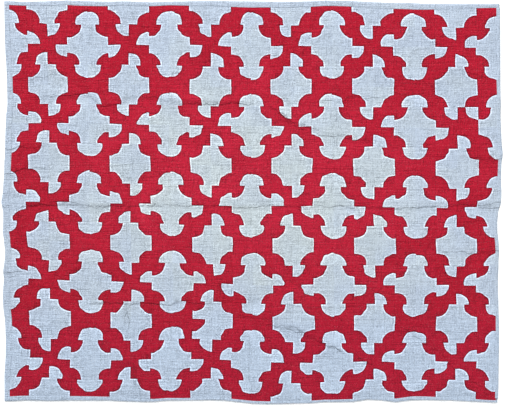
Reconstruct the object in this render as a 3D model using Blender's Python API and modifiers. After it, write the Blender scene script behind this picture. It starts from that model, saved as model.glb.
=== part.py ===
"""A patchwork quilt laid out flat: one quilted body inside four binding strips.

The body is pieced top, wadding and backing sewn through together, so it is one solid. Its
underside is flat, and its top carries the rows of quilting, the creases it was folded on and
the slack of the cloth. Each binding strip is a folded cloth that wraps over the body's rim.
Metres, +X along the longer side, +Z up, origin in the middle of the underside.
"""
import math
from collections import namedtuple

import bmesh
import bpy

# Sizes of the quilt between straight edge lines
LENGTH = 2.153
WIDTH = 1.734

# Visible width of each binding strip
BINDING_WIDTH = {"left": 0.025, "right": 0.014, "top": 0.018, "bottom": 0.017}

# Heights above the surface that the quilt lies on
BODY_TOP = 0.0052
CHANNEL_RISE = 0.0020
SLACK_RISE = 0.0005
LEDGE_TOP = 0.0036
LEDGE_BOTTOM = 0.0014
BINDING_TOP = 0.0050
LOWEST_CREASE = 0.0042

# The binding's cloth and its clearances
BINDING_CLOTH = 0.0011
BINDING_ROUND = 0.0025
SEAM_GAP = 0.0005
RIM_INSET = 0.0035

# Rows of quilting across the width, and how finely the meshes are divided
CHANNELS = 60
ROWS_A_CHANNEL = 2
COLUMNS = 34
SIDE_STATIONS = 40

# How far in from an edge its wave is felt in full, and where it has died away
FULL_WAVE_REACH = 0.004
WAVE_AT_BINDING_SEAM = 0.9
WAVE_REACH = 0.25

MILLIMETRE = 0.001
TINY = 1e-6

Box = namedtuple("Box", "left right bottom top")
Wave = namedtuple("Wave", "along out")
Crease = namedtuple("Crease", "name depth lift spread path")
Slack = namedtuple("Slack", "share length_x length_y phase")

# How far each edge stands out from its straight line, in millimetres from the middle
EDGE_WAVES = {
    "left": (
        Wave(along=-865, out=-1),
        Wave(along=-755, out=0),
        Wave(along=-685, out=-5),
        Wave(along=-600, out=-6),
        Wave(along=-530, out=-4),
        Wave(along=-470, out=4),
        Wave(along=-407, out=8),
        Wave(along=-337, out=2),
        Wave(along=-286, out=6),
        Wave(along=-230, out=-6),
        Wave(along=-190, out=1),
        Wave(along=-128, out=8),
        Wave(along=-59, out=4),
        Wave(along=5, out=14),
        Wave(along=60, out=5),
        Wave(along=150, out=1),
        Wave(along=220, out=-2),
        Wave(along=290, out=-4),
        Wave(along=360, out=-6),
        Wave(along=430, out=-13),
        Wave(along=560, out=-10),
        Wave(along=640, out=-5),
        Wave(along=720, out=-1),
        Wave(along=869, out=1),
    ),
    "right": (
        Wave(along=-873, out=-8),
        Wave(along=-755, out=-6),
        Wave(along=-620, out=-4),
        Wave(along=-534, out=-4),
        Wave(along=-425, out=-7),
        Wave(along=-280, out=-7),
        Wave(along=-200, out=-3),
        Wave(along=-128, out=-11),
        Wave(along=-62, out=-12),
        Wave(along=-30, out=-4),
        Wave(along=11, out=8),
        Wave(along=80, out=5),
        Wave(along=150, out=5),
        Wave(along=215, out=13),
        Wave(along=254, out=8),
        Wave(along=330, out=4),
        Wave(along=430, out=4),
        Wave(along=500, out=2),
        Wave(along=867, out=1),
    ),
    "top": (
        Wave(along=-1060, out=8),
        Wave(along=-973, out=5),
        Wave(along=-886, out=8),
        Wave(along=-799, out=12),
        Wave(along=-712, out=8),
        Wave(along=-625, out=6),
        Wave(along=-538, out=8),
        Wave(along=-451, out=3),
        Wave(along=-364, out=6),
        Wave(along=-190, out=9),
        Wave(along=-16, out=7),
        Wave(along=158, out=5),
        Wave(along=245, out=7),
        Wave(along=332, out=11),
        Wave(along=419, out=9),
        Wave(along=506, out=5),
        Wave(along=593, out=1),
        Wave(along=680, out=0),
        Wave(along=767, out=-4),
        Wave(along=941, out=-5),
        Wave(along=1067, out=-4),
    ),
    "bottom": (
        Wave(along=-1060, out=-1),
        Wave(along=-973, out=-5),
        Wave(along=-886, out=-2),
        Wave(along=-799, out=-4),
        Wave(along=-625, out=-4),
        Wave(along=-538, out=0),
        Wave(along=-451, out=3),
        Wave(along=-364, out=-4),
        Wave(along=-190, out=-4),
        Wave(along=-103, out=-4),
        Wave(along=-16, out=9),
        Wave(along=71, out=11),
        Wave(along=245, out=8),
        Wave(along=332, out=2),
        Wave(along=419, out=3),
        Wave(along=530, out=-10),
        Wave(along=614, out=4),
        Wave(along=680, out=-5),
        Wave(along=854, out=-5),
        Wave(along=941, out=-1),
        Wave(along=1067, out=5),
    ),
}

# Creases in the top, in millimetres: a trough this deep, with cloth lifted on both sides of it
CREASES = (
    Crease("middle_fold", 3.0, 3.4, 15, (
        (-1095, -20), (-834, -15), (-530, -20), (-225, -15), (-8, -24),
        (340, -20), (645, -24), (949, -15), (1093, -7))),
    Crease("upright_fold", 0.9, 0.9, 48, ((-8, 867), (-8, -867))),
    Crease("upper_left", 2.2, 2.4, 15, (
        (-899, 459), (-682, 463), (-604, 420), (-530, 459), (-421, 455), (-290, 428), (-51, 428))),
    Crease("upper_right", 2.2, 2.6, 18, (
        (79, 372), (145, 368), (253, 324), (319, 289), (427, 285), (514, 268))),
    Crease("lower_left", 1.2, 1.2, 15, ((-660, -437), (-443, -441), (-38, -437))),
    Crease("lower_right", 2.4, 2.8, 18, (
        (-73, -489), (79, -498), (210, -559), (297, -611), (406, -650), (493, -685), (623, -737))),
    Crease("right_edge", 1.8, 2.0, 16, ((645, -198), (949, -220), (1058, -207))),
    Crease("left_edge", 2.0, 2.4, 17, ((-1095, -307), (-1008, -302), (-834, -263), (-682, -241))),
    Crease("left_upper_nick", 1.6, 1.8, 15, ((-1095, 241), (-965, 241))),
    Crease("left_lower_nick", 1.6, 1.8, 15, ((-1095, 133), (-965, 128))),
    Crease("right_nick", 1.4, 1.6, 15, ((949, 185), (1080, 185))),
    Crease("lower_right_corner", 1.6, 1.8, 18, ((754, -620), (884, -729), (993, -794))),
)

# Where the lifted cloth beside a crease is highest, and how wide it is, in spreads of the crease
LIFT_PLACE = 2.2
LIFT_SPREAD = 1.3

# Slack that leaves no stretch of a channel quite like the next
SLACKS = (
    Slack(share=0.5, length_x=0.41, length_y=0.67, phase=0.3),
    Slack(share=0.3, length_x=0.23, length_y=-0.19, phase=1.9),
    Slack(share=0.2, length_x=-0.15, length_y=0.11, phase=4.2),
)

# Base colour and roughness of the cloths
RED_COTTON = ((0.457, 0.019, 0.040, 1.0), 0.9)
WHITE_COTTON = ((0.521, 0.610, 0.708, 1.0), 0.9)

OUTLINE = Box(-LENGTH / 2, LENGTH / 2, -WIDTH / 2, WIDTH / 2)


def inset(box, left, right, bottom, top):
    """The box drawn in by its own distance on each side."""
    return Box(box.left + left, box.right - right, box.bottom + bottom, box.top - top)


FACE = inset(
    OUTLINE,
    BINDING_WIDTH["left"] + SEAM_GAP,
    BINDING_WIDTH["right"] + SEAM_GAP,
    BINDING_WIDTH["bottom"] + SEAM_GAP,
    BINDING_WIDTH["top"] + SEAM_GAP,
)
RIM = inset(OUTLINE, RIM_INSET, RIM_INSET, RIM_INSET, RIM_INSET)


def mix(a, b, share):
    """The value that lies this share of the way from a to b."""
    return a + (b - a) * share


def smooth_wave(rows, along):
    """An edge's wave in metres at one place, rounded through its table's rows."""
    place = along / MILLIMETRE
    if place <= rows[0].along:
        return rows[0].out * MILLIMETRE
    for before, after in zip(rows, rows[1:]):
        if place <= after.along:
            share = (place - before.along) / (after.along - before.along)
            eased = share * share * (3 - 2 * share)
            return mix(before.out, after.out, eased) * MILLIMETRE
    return rows[-1].out * MILLIMETRE


def wave(side, along):
    """The wave in straight stretches between stations, so that strip and body stay in step."""
    if side in ("left", "right"):
        low, high, stations = FACE.bottom, FACE.top, SIDE_STATIONS
    else:
        low, high, stations = FACE.left, FACE.right, COLUMNS
    share = min(max((along - low) / (high - low), 0.0), 1.0) * stations
    before = min(int(share), stations - 1)
    start = mix(low, high, before / stations)
    end = mix(low, high, (before + 1) / stations)
    rows = EDGE_WAVES[side]
    return mix(smooth_wave(rows, start), smooth_wave(rows, end), share - before)


def felt(distance, width):
    """How much of an edge's wave is felt this far in from that edge."""
    if distance <= FULL_WAVE_REACH:
        return 1.0
    if distance <= width:
        share = (distance - FULL_WAVE_REACH) / (width - FULL_WAVE_REACH)
        return mix(1.0, WAVE_AT_BINDING_SEAM, share)
    share = min((distance - width) / (WAVE_REACH - width), 1.0)
    return mix(WAVE_AT_BINDING_SEAM, 0.0, share)


def pulled(x, y):
    """Where a point of the straight rectangle lies once the edges wave in and out."""
    left = wave("left", y) * felt(x - OUTLINE.left, BINDING_WIDTH["left"])
    right = wave("right", y) * felt(OUTLINE.right - x, BINDING_WIDTH["right"])
    bottom = wave("bottom", x) * felt(y - OUTLINE.bottom, BINDING_WIDTH["bottom"])
    top = wave("top", x) * felt(OUTLINE.top - y, BINDING_WIDTH["top"])
    return x - left + right, y - bottom + top


def outline_centre():
    """The middle of the box around the waving outline."""
    heights = [mix(FACE.bottom, FACE.top, i / SIDE_STATIONS) for i in range(SIDE_STATIONS + 1)]
    lengths = [mix(FACE.left, FACE.right, i / COLUMNS) for i in range(COLUMNS + 1)]
    left = min(OUTLINE.left - wave("left", y) for y in heights)
    right = max(OUTLINE.right + wave("right", y) for y in heights)
    bottom = min(OUTLINE.bottom - wave("bottom", x) for x in lengths)
    top = max(OUTLINE.top + wave("top", x) for x in lengths)
    return (left + right) / 2, (bottom + top) / 2


CENTRE = outline_centre()


def place(vert):
    """Move a point from the straight rectangle to where the laid quilt has it."""
    x, y = pulled(vert.co.x, vert.co.y)
    vert.co.x = x - CENTRE[0]
    vert.co.y = y - CENTRE[1]


def distance_to_path(x, y, path):
    """The shortest distance from a point to a path of straight stretches, in metres."""
    nearest = math.inf
    for (ax, ay), (bx, by) in zip(path, path[1:]):
        ax, ay, bx, by = (value * MILLIMETRE for value in (ax, ay, bx, by))
        run_x, run_y = bx - ax, by - ay
        share = ((x - ax) * run_x + (y - ay) * run_y) / (run_x * run_x + run_y * run_y)
        share = min(max(share, 0.0), 1.0)
        nearest = min(nearest, math.hypot(x - ax - run_x * share, y - ay - run_y * share))
    return nearest


def crease_height(x, y):
    """What the creases take from and add to the height of the top."""
    height = 0.0
    for crease in CREASES:
        spreads = distance_to_path(x, y, crease.path) / (crease.spread * MILLIMETRE)
        trough = math.exp(-spreads ** 2)
        lifted = math.exp(-((spreads - LIFT_PLACE) / LIFT_SPREAD) ** 2)
        height += (crease.lift * lifted - crease.depth * trough) * MILLIMETRE
    return height


def slack(x, y):
    """Unevenness from -1 to 1 that follows no seam."""
    total = 0.0
    for row in SLACKS:
        turns = x / row.length_x + y / row.length_y
        total += row.share * math.sin(2 * math.pi * turns + row.phase)
    return total


def top_height(x, y):
    """The height of the quilt's top: rows of quilting, slack and creases."""
    channels_up = (y - FACE.bottom) / (FACE.top - FACE.bottom) * CHANNELS
    swell = math.sin(math.pi * channels_up) ** 2
    rise = CHANNEL_RISE * (1 + 0.3 * slack(y, x)) * swell
    height = BODY_TOP + rise + SLACK_RISE * slack(x, y) + crease_height(x, y)
    return max(height, LOWEST_CREASE)


def step_rim(bm, height, from_box=None, to_box=None):
    """Draw the open rim out to a new height, and across to another box where one is given."""
    rim = [edge for edge in bm.edges if edge.is_boundary]
    drawn = bmesh.ops.extrude_edge_only(bm, edges=rim)["geom"]
    for vert in (item for item in drawn if isinstance(item, bmesh.types.BMVert)):
        vert.co.z = height
        if from_box is None:
            continue
        for old, new in ((from_box.left, to_box.left), (from_box.right, to_box.right)):
            if abs(vert.co.x - old) < TINY:
                vert.co.x = new
        for old, new in ((from_box.bottom, to_box.bottom), (from_box.top, to_box.top)):
            if abs(vert.co.y - old) < TINY:
                vert.co.y = new


def cotton(name, look):
    """A plain woven cotton."""
    colour, roughness = look
    material = bpy.data.materials.new(name)
    material.use_nodes = True
    shader = material.node_tree.nodes["Principled BSDF"]
    shader.inputs["Base Color"].default_value = colour
    shader.inputs["Roughness"].default_value = roughness
    shader.inputs["Metallic"].default_value = 0.0
    return material


def add_object(name, bm, look):
    """Turn the mesh into a named object with its own material."""
    mesh = bpy.data.meshes.new(name)
    bm.to_mesh(mesh)
    bm.free()
    thing = bpy.data.objects.new(name, mesh)
    thing.data.materials.append(cotton(name + "_cotton", look))
    parts.objects.link(thing)
    return thing


def add_body():
    """The quilted body: a waved top, a thin rim for the binding, and a flat underside."""
    bm = bmesh.new()
    bmesh.ops.create_grid(
        bm, x_segments=COLUMNS, y_segments=CHANNELS * ROWS_A_CHANNEL, size=1.0)
    for vert in bm.verts:
        vert.co.x = mix(FACE.left, FACE.right, (vert.co.x + 1) / 2)
        vert.co.y = mix(FACE.bottom, FACE.top, (vert.co.y + 1) / 2)
        vert.co.z = top_height(vert.co.x, vert.co.y)
    step_rim(bm, LEDGE_TOP)
    step_rim(bm, LEDGE_TOP, FACE, RIM)
    step_rim(bm, LEDGE_BOTTOM)
    step_rim(bm, LEDGE_BOTTOM, RIM, FACE)
    step_rim(bm, 0.0)
    bmesh.ops.edgeloop_fill(bm, edges=[edge for edge in bm.edges if edge.is_boundary])
    for vert in bm.verts:
        place(vert)
    bmesh.ops.recalc_face_normals(bm, faces=bm.faces)
    return add_object("quilt", bm, RED_COTTON)


def strip_section(width):
    """A folded strip's outer line, from its upper seam round the edge to its lower seam.

    Each point is its distance in from the edge, and its height.
    """
    return (
        (width, BINDING_TOP),
        (BINDING_ROUND, BINDING_TOP),
        (0.0, BINDING_TOP / 2),
        (BINDING_ROUND, 0.0),
        (width, 0.0),
    )


def strip_stations(side):
    """Where along its edge a strip has a section. Top and bottom strips cover the corners."""
    if side in ("left", "right"):
        return [mix(FACE.bottom, FACE.top, i / SIDE_STATIONS) for i in range(SIDE_STATIONS + 1)]
    inner = [mix(FACE.left, FACE.right, i / COLUMNS) for i in range(COLUMNS + 1)]
    return [OUTLINE.left] + inner + [OUTLINE.right]


def add_binding(side):
    """One binding strip: an open sheet bent round the quilt's edge, given its thickness."""
    section = strip_section(BINDING_WIDTH[side])
    stations = strip_stations(side)
    bm = bmesh.new()
    bmesh.ops.create_grid(
        bm, x_segments=len(stations) - 1, y_segments=len(section) - 1, size=1.0)
    for vert in bm.verts:
        along = stations[round((vert.co.x + 1) / 2 * (len(stations) - 1))]
        inward, height = section[round((vert.co.y + 1) / 2 * (len(section) - 1))]
        if side == "left":
            vert.co = (OUTLINE.left + inward, along, height)
        elif side == "right":
            vert.co = (OUTLINE.right - inward, along, height)
        elif side == "bottom":
            vert.co = (along, OUTLINE.bottom + inward, height)
        else:
            vert.co = (along, OUTLINE.top - inward, height)
        place(vert)
    bmesh.ops.recalc_face_normals(bm, faces=bm.faces)
    upper = max(bm.faces, key=lambda face: face.calc_center_median().z)
    if upper.normal.z < 0:
        bmesh.ops.reverse_faces(bm, faces=bm.faces)
    strip = add_object("binding_" + side, bm, WHITE_COTTON)
    wall = strip.modifiers.new("cloth", "SOLIDIFY")
    wall.thickness = BINDING_CLOTH
    wall.offset = -1.0
    wall.use_even_offset = True
    return strip


for old in list(bpy.data.objects):
    bpy.data.objects.remove(old, do_unlink=True)

parts = bpy.data.collections.new("patchwork_quilt")
bpy.context.scene.collection.children.link(parts)

add_body()
for edge_side in EDGE_WAVES:
    add_binding(edge_side)
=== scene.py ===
# %% [markdown]
# # A patchwork quilt, laid out flat
#
# The real thing is a hand-pieced cotton bed quilt. Its face is 480 small squares, and each
# square is a quarter-circle sewn into the ground around it, red on white or white on red. The
# face, a thin wadding and a plain back are then sewn through together in rows, and four strips
# of white cotton are folded over the raw edge. This lesson builds it in that order.

# %% Load the frame
import math
from collections import namedtuple

import bmesh
import bpy
import numpy as np
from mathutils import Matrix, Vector
from mathutils.bvhtree import BVHTree


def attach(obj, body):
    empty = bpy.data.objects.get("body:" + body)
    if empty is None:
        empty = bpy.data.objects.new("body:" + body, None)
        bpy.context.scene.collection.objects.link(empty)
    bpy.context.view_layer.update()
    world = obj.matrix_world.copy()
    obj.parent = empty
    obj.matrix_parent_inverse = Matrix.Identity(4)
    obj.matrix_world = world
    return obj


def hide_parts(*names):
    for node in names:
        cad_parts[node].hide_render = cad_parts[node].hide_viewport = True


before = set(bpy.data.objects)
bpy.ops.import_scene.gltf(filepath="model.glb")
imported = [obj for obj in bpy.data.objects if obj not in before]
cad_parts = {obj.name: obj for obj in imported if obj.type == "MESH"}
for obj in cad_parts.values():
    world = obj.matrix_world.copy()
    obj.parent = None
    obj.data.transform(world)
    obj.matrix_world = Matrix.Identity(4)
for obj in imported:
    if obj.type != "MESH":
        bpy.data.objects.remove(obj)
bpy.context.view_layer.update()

# %% [markdown]
# ## Sizes
#
# A maker cuts one template and repeats it, so nearly every size here comes from the one square.
# The squares are not quite square, as if washing had drawn the quilt in more across its rows
# than along them. The pitch and place of the squares and the share of the arc were found by a
# search that fitted the pattern to the photograph, and were then rounded. All places are in
# metres from the middle of the quilt, and tables that are easier to read in millimetres say so.

# %% Sizes
MM = 0.001

SQUARES_ACROSS = 24
SQUARES_DOWN = 20
BLOCK_SQUARES = 4
SQUARE_WIDE = 88.6 * MM
SQUARE_DEEP = 85.4 * MM
ARC_SHARE = 0.616
PIECING_LEFT = -1067 * MM
PIECING_TOP = 859 * MM

# The photograph's outline, 495 by 399 pixels, at about 4.35 mm a pixel
CLOTH_LONG = 2.153
CLOTH_WIDE = 1.734
LEFT, RIGHT = -CLOTH_LONG / 2, CLOTH_LONG / 2
BOTTOM, TOP = -CLOTH_WIDE / 2, CLOTH_WIDE / 2
BINDING_WIDE = {"left": 25 * MM, "right": 14 * MM, "top": 18 * MM, "bottom": 17 * MM}

# The waving edges reach out unevenly, so the cloth's middle isn't quite the frame's middle
CLOTH_RIGHT = 0.5 * MM
CLOTH_UP = -2.5 * MM

# %% [markdown]
# ## Camera, light and floor
#
# The quilt is seen from straight above, so the camera hangs over its middle and looks down
# through a long lens, which keeps the rows parallel. A wide soft light stands past the top
# edge. Light that comes in low from one side is what lets shallow creases and puckers show.

# %% Camera
PHOTO_PIXELS_WIDE = 505
PHOTO_PIXEL = 4.35 * MM
LENS_MM = 85
SENSOR_MM = 36
FACE_LEVEL = 7.0 * MM
CAMERA_RIGHT = 3.8 * MM
CAMERA_UP = -2.5 * MM

view_wide = PHOTO_PIXELS_WIDE * PHOTO_PIXEL
camera_data = bpy.data.cameras.new("camera")
camera_data.lens = LENS_MM
camera_data.sensor_width = SENSOR_MM
camera = bpy.data.objects.new("camera", camera_data)
camera.location = (CAMERA_RIGHT, CAMERA_UP, FACE_LEVEL + view_wide * LENS_MM / SENSOR_MM)
bpy.context.scene.collection.objects.link(camera)
bpy.context.scene.camera = camera
print("camera height", round(camera.location.z, 3))

# %% Colours and light


def linear(hex_colour):
    """An sRGB hex colour as the linear values that Blender's sockets take."""
    channels = [int(hex_colour[i:i + 2], 16) / 255 for i in (1, 3, 5)]
    straight = [c / 12.92 if c <= 0.04045 else ((c + 0.055) / 1.055) ** 2.4 for c in channels]
    return (*straight, 1.0)


def add_softbox(name, place, aim, size, watts):
    """A square soft light that stands at one place and looks at another."""
    data = bpy.data.lights.new(name, "AREA")
    data.shape = "SQUARE"
    data.size = size
    data.energy = watts
    box = bpy.data.objects.new(name, data)
    box.location = place
    box.rotation_euler = (Vector(aim) - Vector(place)).to_track_quat("-Z", "Y").to_euler()
    bpy.context.scene.collection.objects.link(box)
    return box


# Places and strengths were set by comparing renders with the photograph
add_softbox("key_softbox", place=(-4.8, 12.8, 9.4), aim=(0, 0, 0), size=4.3, watts=3290)
add_softbox("fill_softbox", place=(2.0, -1.8, 5.4), aim=(0, 0, 0), size=3.0, watts=84)

STUDIO_COLOUR = "#f4f7fa"
STUDIO_STRENGTH = 0.54

world = bpy.data.worlds.new("studio")
world.use_nodes = True
studio = world.node_tree.nodes["Background"]
studio.inputs["Color"].default_value = linear(STUDIO_COLOUR)
studio.inputs["Strength"].default_value = STUDIO_STRENGTH
bpy.context.scene.world = world
bpy.context.scene.view_settings.view_transform = "Standard"

# %% Floor
FLOOR_SIZE = 9.0
FLOOR_COLOUR = "#fbfcfc"
FLOOR_ROUGHNESS = 0.95


def add_object(name, mesh):
    """Put a mesh in the scene under a name."""
    thing = bpy.data.objects.new(name, mesh)
    bpy.context.scene.collection.objects.link(thing)
    return thing


floor_bm = bmesh.new()
bmesh.ops.create_grid(floor_bm, x_segments=1, y_segments=1, size=FLOOR_SIZE / 2)
floor_mesh = bpy.data.meshes.new("floor")
floor_bm.to_mesh(floor_mesh)
floor_bm.free()
floor = add_object("floor", floor_mesh)
floor_paint = bpy.data.materials.new("white_painted_board")
floor_paint.use_nodes = True
floor_shader = floor_paint.node_tree.nodes["Principled BSDF"]
floor_shader.inputs["Base Color"].default_value = linear(FLOOR_COLOUR)
floor_shader.inputs["Roughness"].default_value = FLOOR_ROUGHNESS
floor.data.materials.append(floor_paint)

# %% [markdown]
# ## The outline
#
# A washed quilt never lies with straight edges. The solid model already has the waving
# outline, as measured in the photograph, so it is read from there: the binding strips'
# outermost line, one side at a time.
# Everything is first worked out on a straight rectangle. `pulled` then moves each point with
# the edges near it: all the way at the edge, nearly as far at the binding's seam, and not at
# all a hand's breadth further in.

# %% The outline from the frame
SAME_STATION = 0.1 * MM
SIDES = {
    "left": {"across": 0, "along": 1, "out": -1, "straight": LEFT},
    "right": {"across": 0, "along": 1, "out": 1, "straight": RIGHT},
    "bottom": {"across": 1, "along": 0, "out": -1, "straight": BOTTOM},
    "top": {"across": 1, "along": 0, "out": 1, "straight": TOP},
}
CLOTH_MIDDLE = np.array((CLOTH_RIGHT, CLOTH_UP, 0.0))


def edge_wave(side):
    """Places along one edge of the solid model, and how far out from straight it stands there."""
    facts = SIDES[side]
    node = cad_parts["binding_" + side]
    corners = np.array([vert.co for vert in node.data.vertices]) - CLOTH_MIDDLE
    along = corners[:, facts["along"]]
    outward = corners[:, facts["across"]] * facts["out"]
    stations = []
    for place in np.sort(along):
        if not stations or place - stations[-1] > SAME_STATION:
            stations.append(place)
    reach = [outward[np.abs(along - place) < 2 * SAME_STATION].max() for place in stations]
    return np.array(stations), np.array(reach) - abs(facts["straight"])


edge_waves = {side: edge_wave(side) for side in SIDES}
for side, (stations, out) in edge_waves.items():
    print(side, len(stations), "stations, out by", round(out.min() / MM), "to",
          round(out.max() / MM), "mm")

# %% Points follow the edges
FULL_REACH = 4 * MM
SHARE_AT_SEAM = 0.9
WAVE_REACH = 0.25


def felt(distance, seam):
    """How much of an edge's wave reaches a point this far in from it."""
    return np.interp(distance, (FULL_REACH, seam, WAVE_REACH), (1.0, SHARE_AT_SEAM, 0.0))


def pulled(x, y):
    """Where points of the straight rectangle lie once its edges wave."""
    left = np.interp(y, *edge_waves["left"]) * felt(x - LEFT, BINDING_WIDE["left"])
    right = np.interp(y, *edge_waves["right"]) * felt(RIGHT - x, BINDING_WIDE["right"])
    bottom = np.interp(x, *edge_waves["bottom"]) * felt(y - BOTTOM, BINDING_WIDE["bottom"])
    top = np.interp(x, *edge_waves["top"]) * felt(TOP - y, BINDING_WIDE["top"])
    return x - left + right + CLOTH_RIGHT, y - bottom + top + CLOTH_UP


# %% [markdown]
# ## How wide the binding shows
#
# The strips were cut by eye and turned over by hand, so each shows wide in one place and narrow
# in the next. Their widths were measured in the photograph at a few places along each side,
# and are listed from left to right or from the bottom up.

# %% Width of the binding
Width = namedtuple("Width", "along wide")

# In millimetres
BINDING_WIDTHS = {
    "left": (Width(-824, 22), Width(-502, 31), Width(-150, 27), Width(176, 29), Width(520, 26),
             Width(837, 21)),
    "right": (Width(-829, 10), Width(-515, 10), Width(-176, 12), Width(-85, 15), Width(154, 10),
              Width(507, 12), Width(833, 12)),
    "bottom": (Width(-1017, 20), Width(-704, 18), Width(-364, 10), Width(-16, 10), Width(345, 9),
               Width(701, 16), Width(1019, 9)),
    "top": (Width(-1021, 16), Width(-721, 21), Width(-360, 16), Width(-8, 26), Width(345, 22),
            Width(701, 28), Width(1019, 18)),
}


def binding_wide(side, along):
    """How wide a strip shows on the face at places along its side."""
    rows = BINDING_WIDTHS[side]
    return np.interp(along, [row.along * MM for row in rows], [row.wide * MM for row in rows])


# %% [markdown]
# ## How the seams drift
#
# Hand piecing and years of use leave no row straight. Here the rows sink towards the right,
# most of all below the middle, and the columns lean a little. Both are smooth curves with a
# few named sizes, which the same search fitted to the photograph. Where its seams still lay
# off those curves, the offset was measured and listed as a nudge, in many rows at evenly
# spaced places. A slight wobble under everything is the hand of the sewer.

# %% Smooth noise
LATTICE = 256


def eased(share):
    """A share from 0 to 1 with no corner at either end."""
    return share * share * (3 - 2 * share)


def noise(x, y, cell_x, cell_y, seed):
    """Smooth noise from -1 to 1 whose lumps are about one cell in size."""
    values = np.random.default_rng(seed).uniform(-1, 1, (LATTICE, LATTICE))
    u, v = x / cell_x + LATTICE, y / cell_y + LATTICE
    i, j = np.floor(u).astype(int), np.floor(v).astype(int)
    s, t = eased(u - i), eased(v - j)
    i, j, i_next, j_next = i % LATTICE, j % LATTICE, (i + 1) % LATTICE, (j + 1) % LATTICE
    low = values[i, j] * (1 - s) + values[i_next, j] * s
    high = values[i, j_next] * (1 - s) + values[i_next, j_next] * s
    return low * (1 - t) + high * t


# %% Seam drift
DROOP = 26 * MM
DROOP_FULL_AT = 0.925
DROOP_EASE = 1.2
DROOP_AT_TOP = 0.25
DROOP_LOW_BIAS = 1.21
LEAN_START = -3 * MM
LEAN = 11.7 * MM
LEAN_TURN = 0.7
BOW = 2.2 * MM
WOBBLE = 2.0 * MM
WOBBLE_CELL = 52 * MM
WOBBLE_SEED_RIGHT, WOBBLE_SEED_UP = 11, 12

Nudge = namedtuple("Nudge", "name x y right up reach")

# In millimetres: where, how far the seams lie to the right and up of their row, how wide
NUDGES = (
    Nudge("left edge at the middle fold", -1069, -60, -12, 0, 170),
    Nudge("left edge below the middle", -1069, -330, -4, 11, 190),
    Nudge("upper right edge", 1062, 359, 8, 0, 230),
    Nudge("upper right corner", 990, 790, 7, -4, 140),
    Nudge("upper left corner", -1000, 780, 0, 4, 120),
    Nudge("right edge above the middle", 870, 180, 0, -7, 150),
    Nudge("right edge below the middle", 1062, -163, 0, 8, 60),
    Nudge("top, left of the middle", -95, 772, 8, 0, 170),
    Nudge("left of the middle, above the fold", -330, 290, -5, 0, 140),
    Nudge("right of the middle, above the fold", 210, 190, 0, 4, 130),
    Nudge("upper right crease", 384, 359, -6, 0, 220),
    Nudge("on the middle fold", 110, 0, -5, 0, 90),
    Nudge("on the middle fold, right", 527, 0, -5, 0, 90),
    Nudge("left of the middle, below the fold", -230, -310, 9, 0, 180),
    Nudge("left of the middle, at the fold", -210, -90, 0, -5, 150),
    Nudge("below the middle", 0, -370, 0, -5, 110),
    Nudge("left quarter, below the fold", -520, -320, 5, 0, 140),
    Nudge("lower left crease", -250, -530, 0, 11, 120),
    Nudge("lower left", -760, -560, 5, 0, 170),
    Nudge("lower right crease", 240, -560, 7, 0, 130),
    Nudge("past the lower right crease", 740, -620, -6, 0, 130),
    Nudge("bottom, left quarter", -690, -770, 0, -8, 130),
    Nudge("bottom, left of the middle", -325, -770, -7, -7, 100),
    Nudge("bottom, right of the middle", 340, -794, -6, -4, 280),
    Nudge("bottom edge at the middle", 170, -846, 0, -8, 180),
    Nudge("top, left of the middle, next row", -105, 570, 2, -6, 150),
    Nudge("top, left quarter", -751, 750, -2, -4, 130),
    Nudge("left edge above the middle", -965, 470, -4, -2, 150),
    Nudge("left edge, low", -965, -559, 2, 4, 110),
    Nudge("bottom, at the middle", -8, -746, -4, 0, 130),
    Nudge("bottom, right quarter", 740, -746, -4, -4, 110),
    Nudge("upper left quarter", -751, 563, -3, 0, 110),
    Nudge("above the middle", 101, 563, -4, -2, 110),
    Nudge("upper right quarter", 741, 563, 2, -4, 110),
    Nudge("upper left crease, outer end", -538, 376, -3, 1, 110),
    Nudge("left edge, above the fold", -965, 189, 0, 4, 110),
    Nudge("just above the middle", 101, 189, -2, 3, 110),
    Nudge("left of the middle, low", -325, -372, 3, 0, 110),
    Nudge("right of the middle, low", 101, -372, 0, -4, 110),
    Nudge("under the lower left crease", -325, -559, 2, 4, 110),
    Nudge("under the lower left crease, right", -112, -559, 2, 4, 110),
    Nudge("at the lower right crease", 101, -559, 0, 4, 110),
    Nudge("lower left, bottom row", -751, -746, 0, -4, 110),
    Nudge("right of the middle, bottom row", 101, -746, -4, 0, 110),
    Nudge("top, right quarter", 741, 750, 4, 0, 110),
)


def drifted(x, y):
    """Where a point of an even grid of squares lies on the straight rectangle."""
    across = np.clip((x - LEFT) / CLOTH_LONG, 0, 1)
    down = np.clip((TOP - y) / CLOTH_WIDE, 0, 1)
    ease = np.sin(math.pi / 2 * np.clip(across / DROOP_FULL_AT, 0, 1)) ** DROOP_EASE
    arch = DROOP_AT_TOP + (1 - DROOP_AT_TOP) * np.sin(math.pi * down ** DROOP_LOW_BIAS)
    right = LEAN_START + LEAN * np.sin(LEAN_TURN * math.pi * down)
    right = right + BOW * np.cos(2 * math.pi * across)
    up = -DROOP * ease * arch
    for nudge in NUDGES:
        away = np.hypot(x - nudge.x * MM, y - nudge.y * MM) / (nudge.reach * MM)
        share = np.exp(-away ** 2)
        right = right + nudge.right * MM * share
        up = up + nudge.up * MM * share
    right = right + WOBBLE * noise(x, y, WOBBLE_CELL, WOBBLE_CELL, WOBBLE_SEED_RIGHT)
    up = up + WOBBLE * noise(x, y, WOBBLE_CELL, WOBBLE_CELL, WOBBLE_SEED_UP)
    return x + right, y + up


# %% [markdown]
# ## Creases
#
# The quilt was stored folded, and the folds stay in it. A crease on a lying quilt isn't an
# even trough: the cloth stands up in a low crest on one side, drops short and steep, and then
# comes back slowly. That is why each reads as one dark line under a top light. Every row of
# the table is one crease, drawn from left to right, so that its crest lies above its line. The
# upright ones are drawn downwards, with their crest on the right. The lines were read off
# enlarged views of the photograph, and their heights set by comparing how dark each is.

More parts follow.
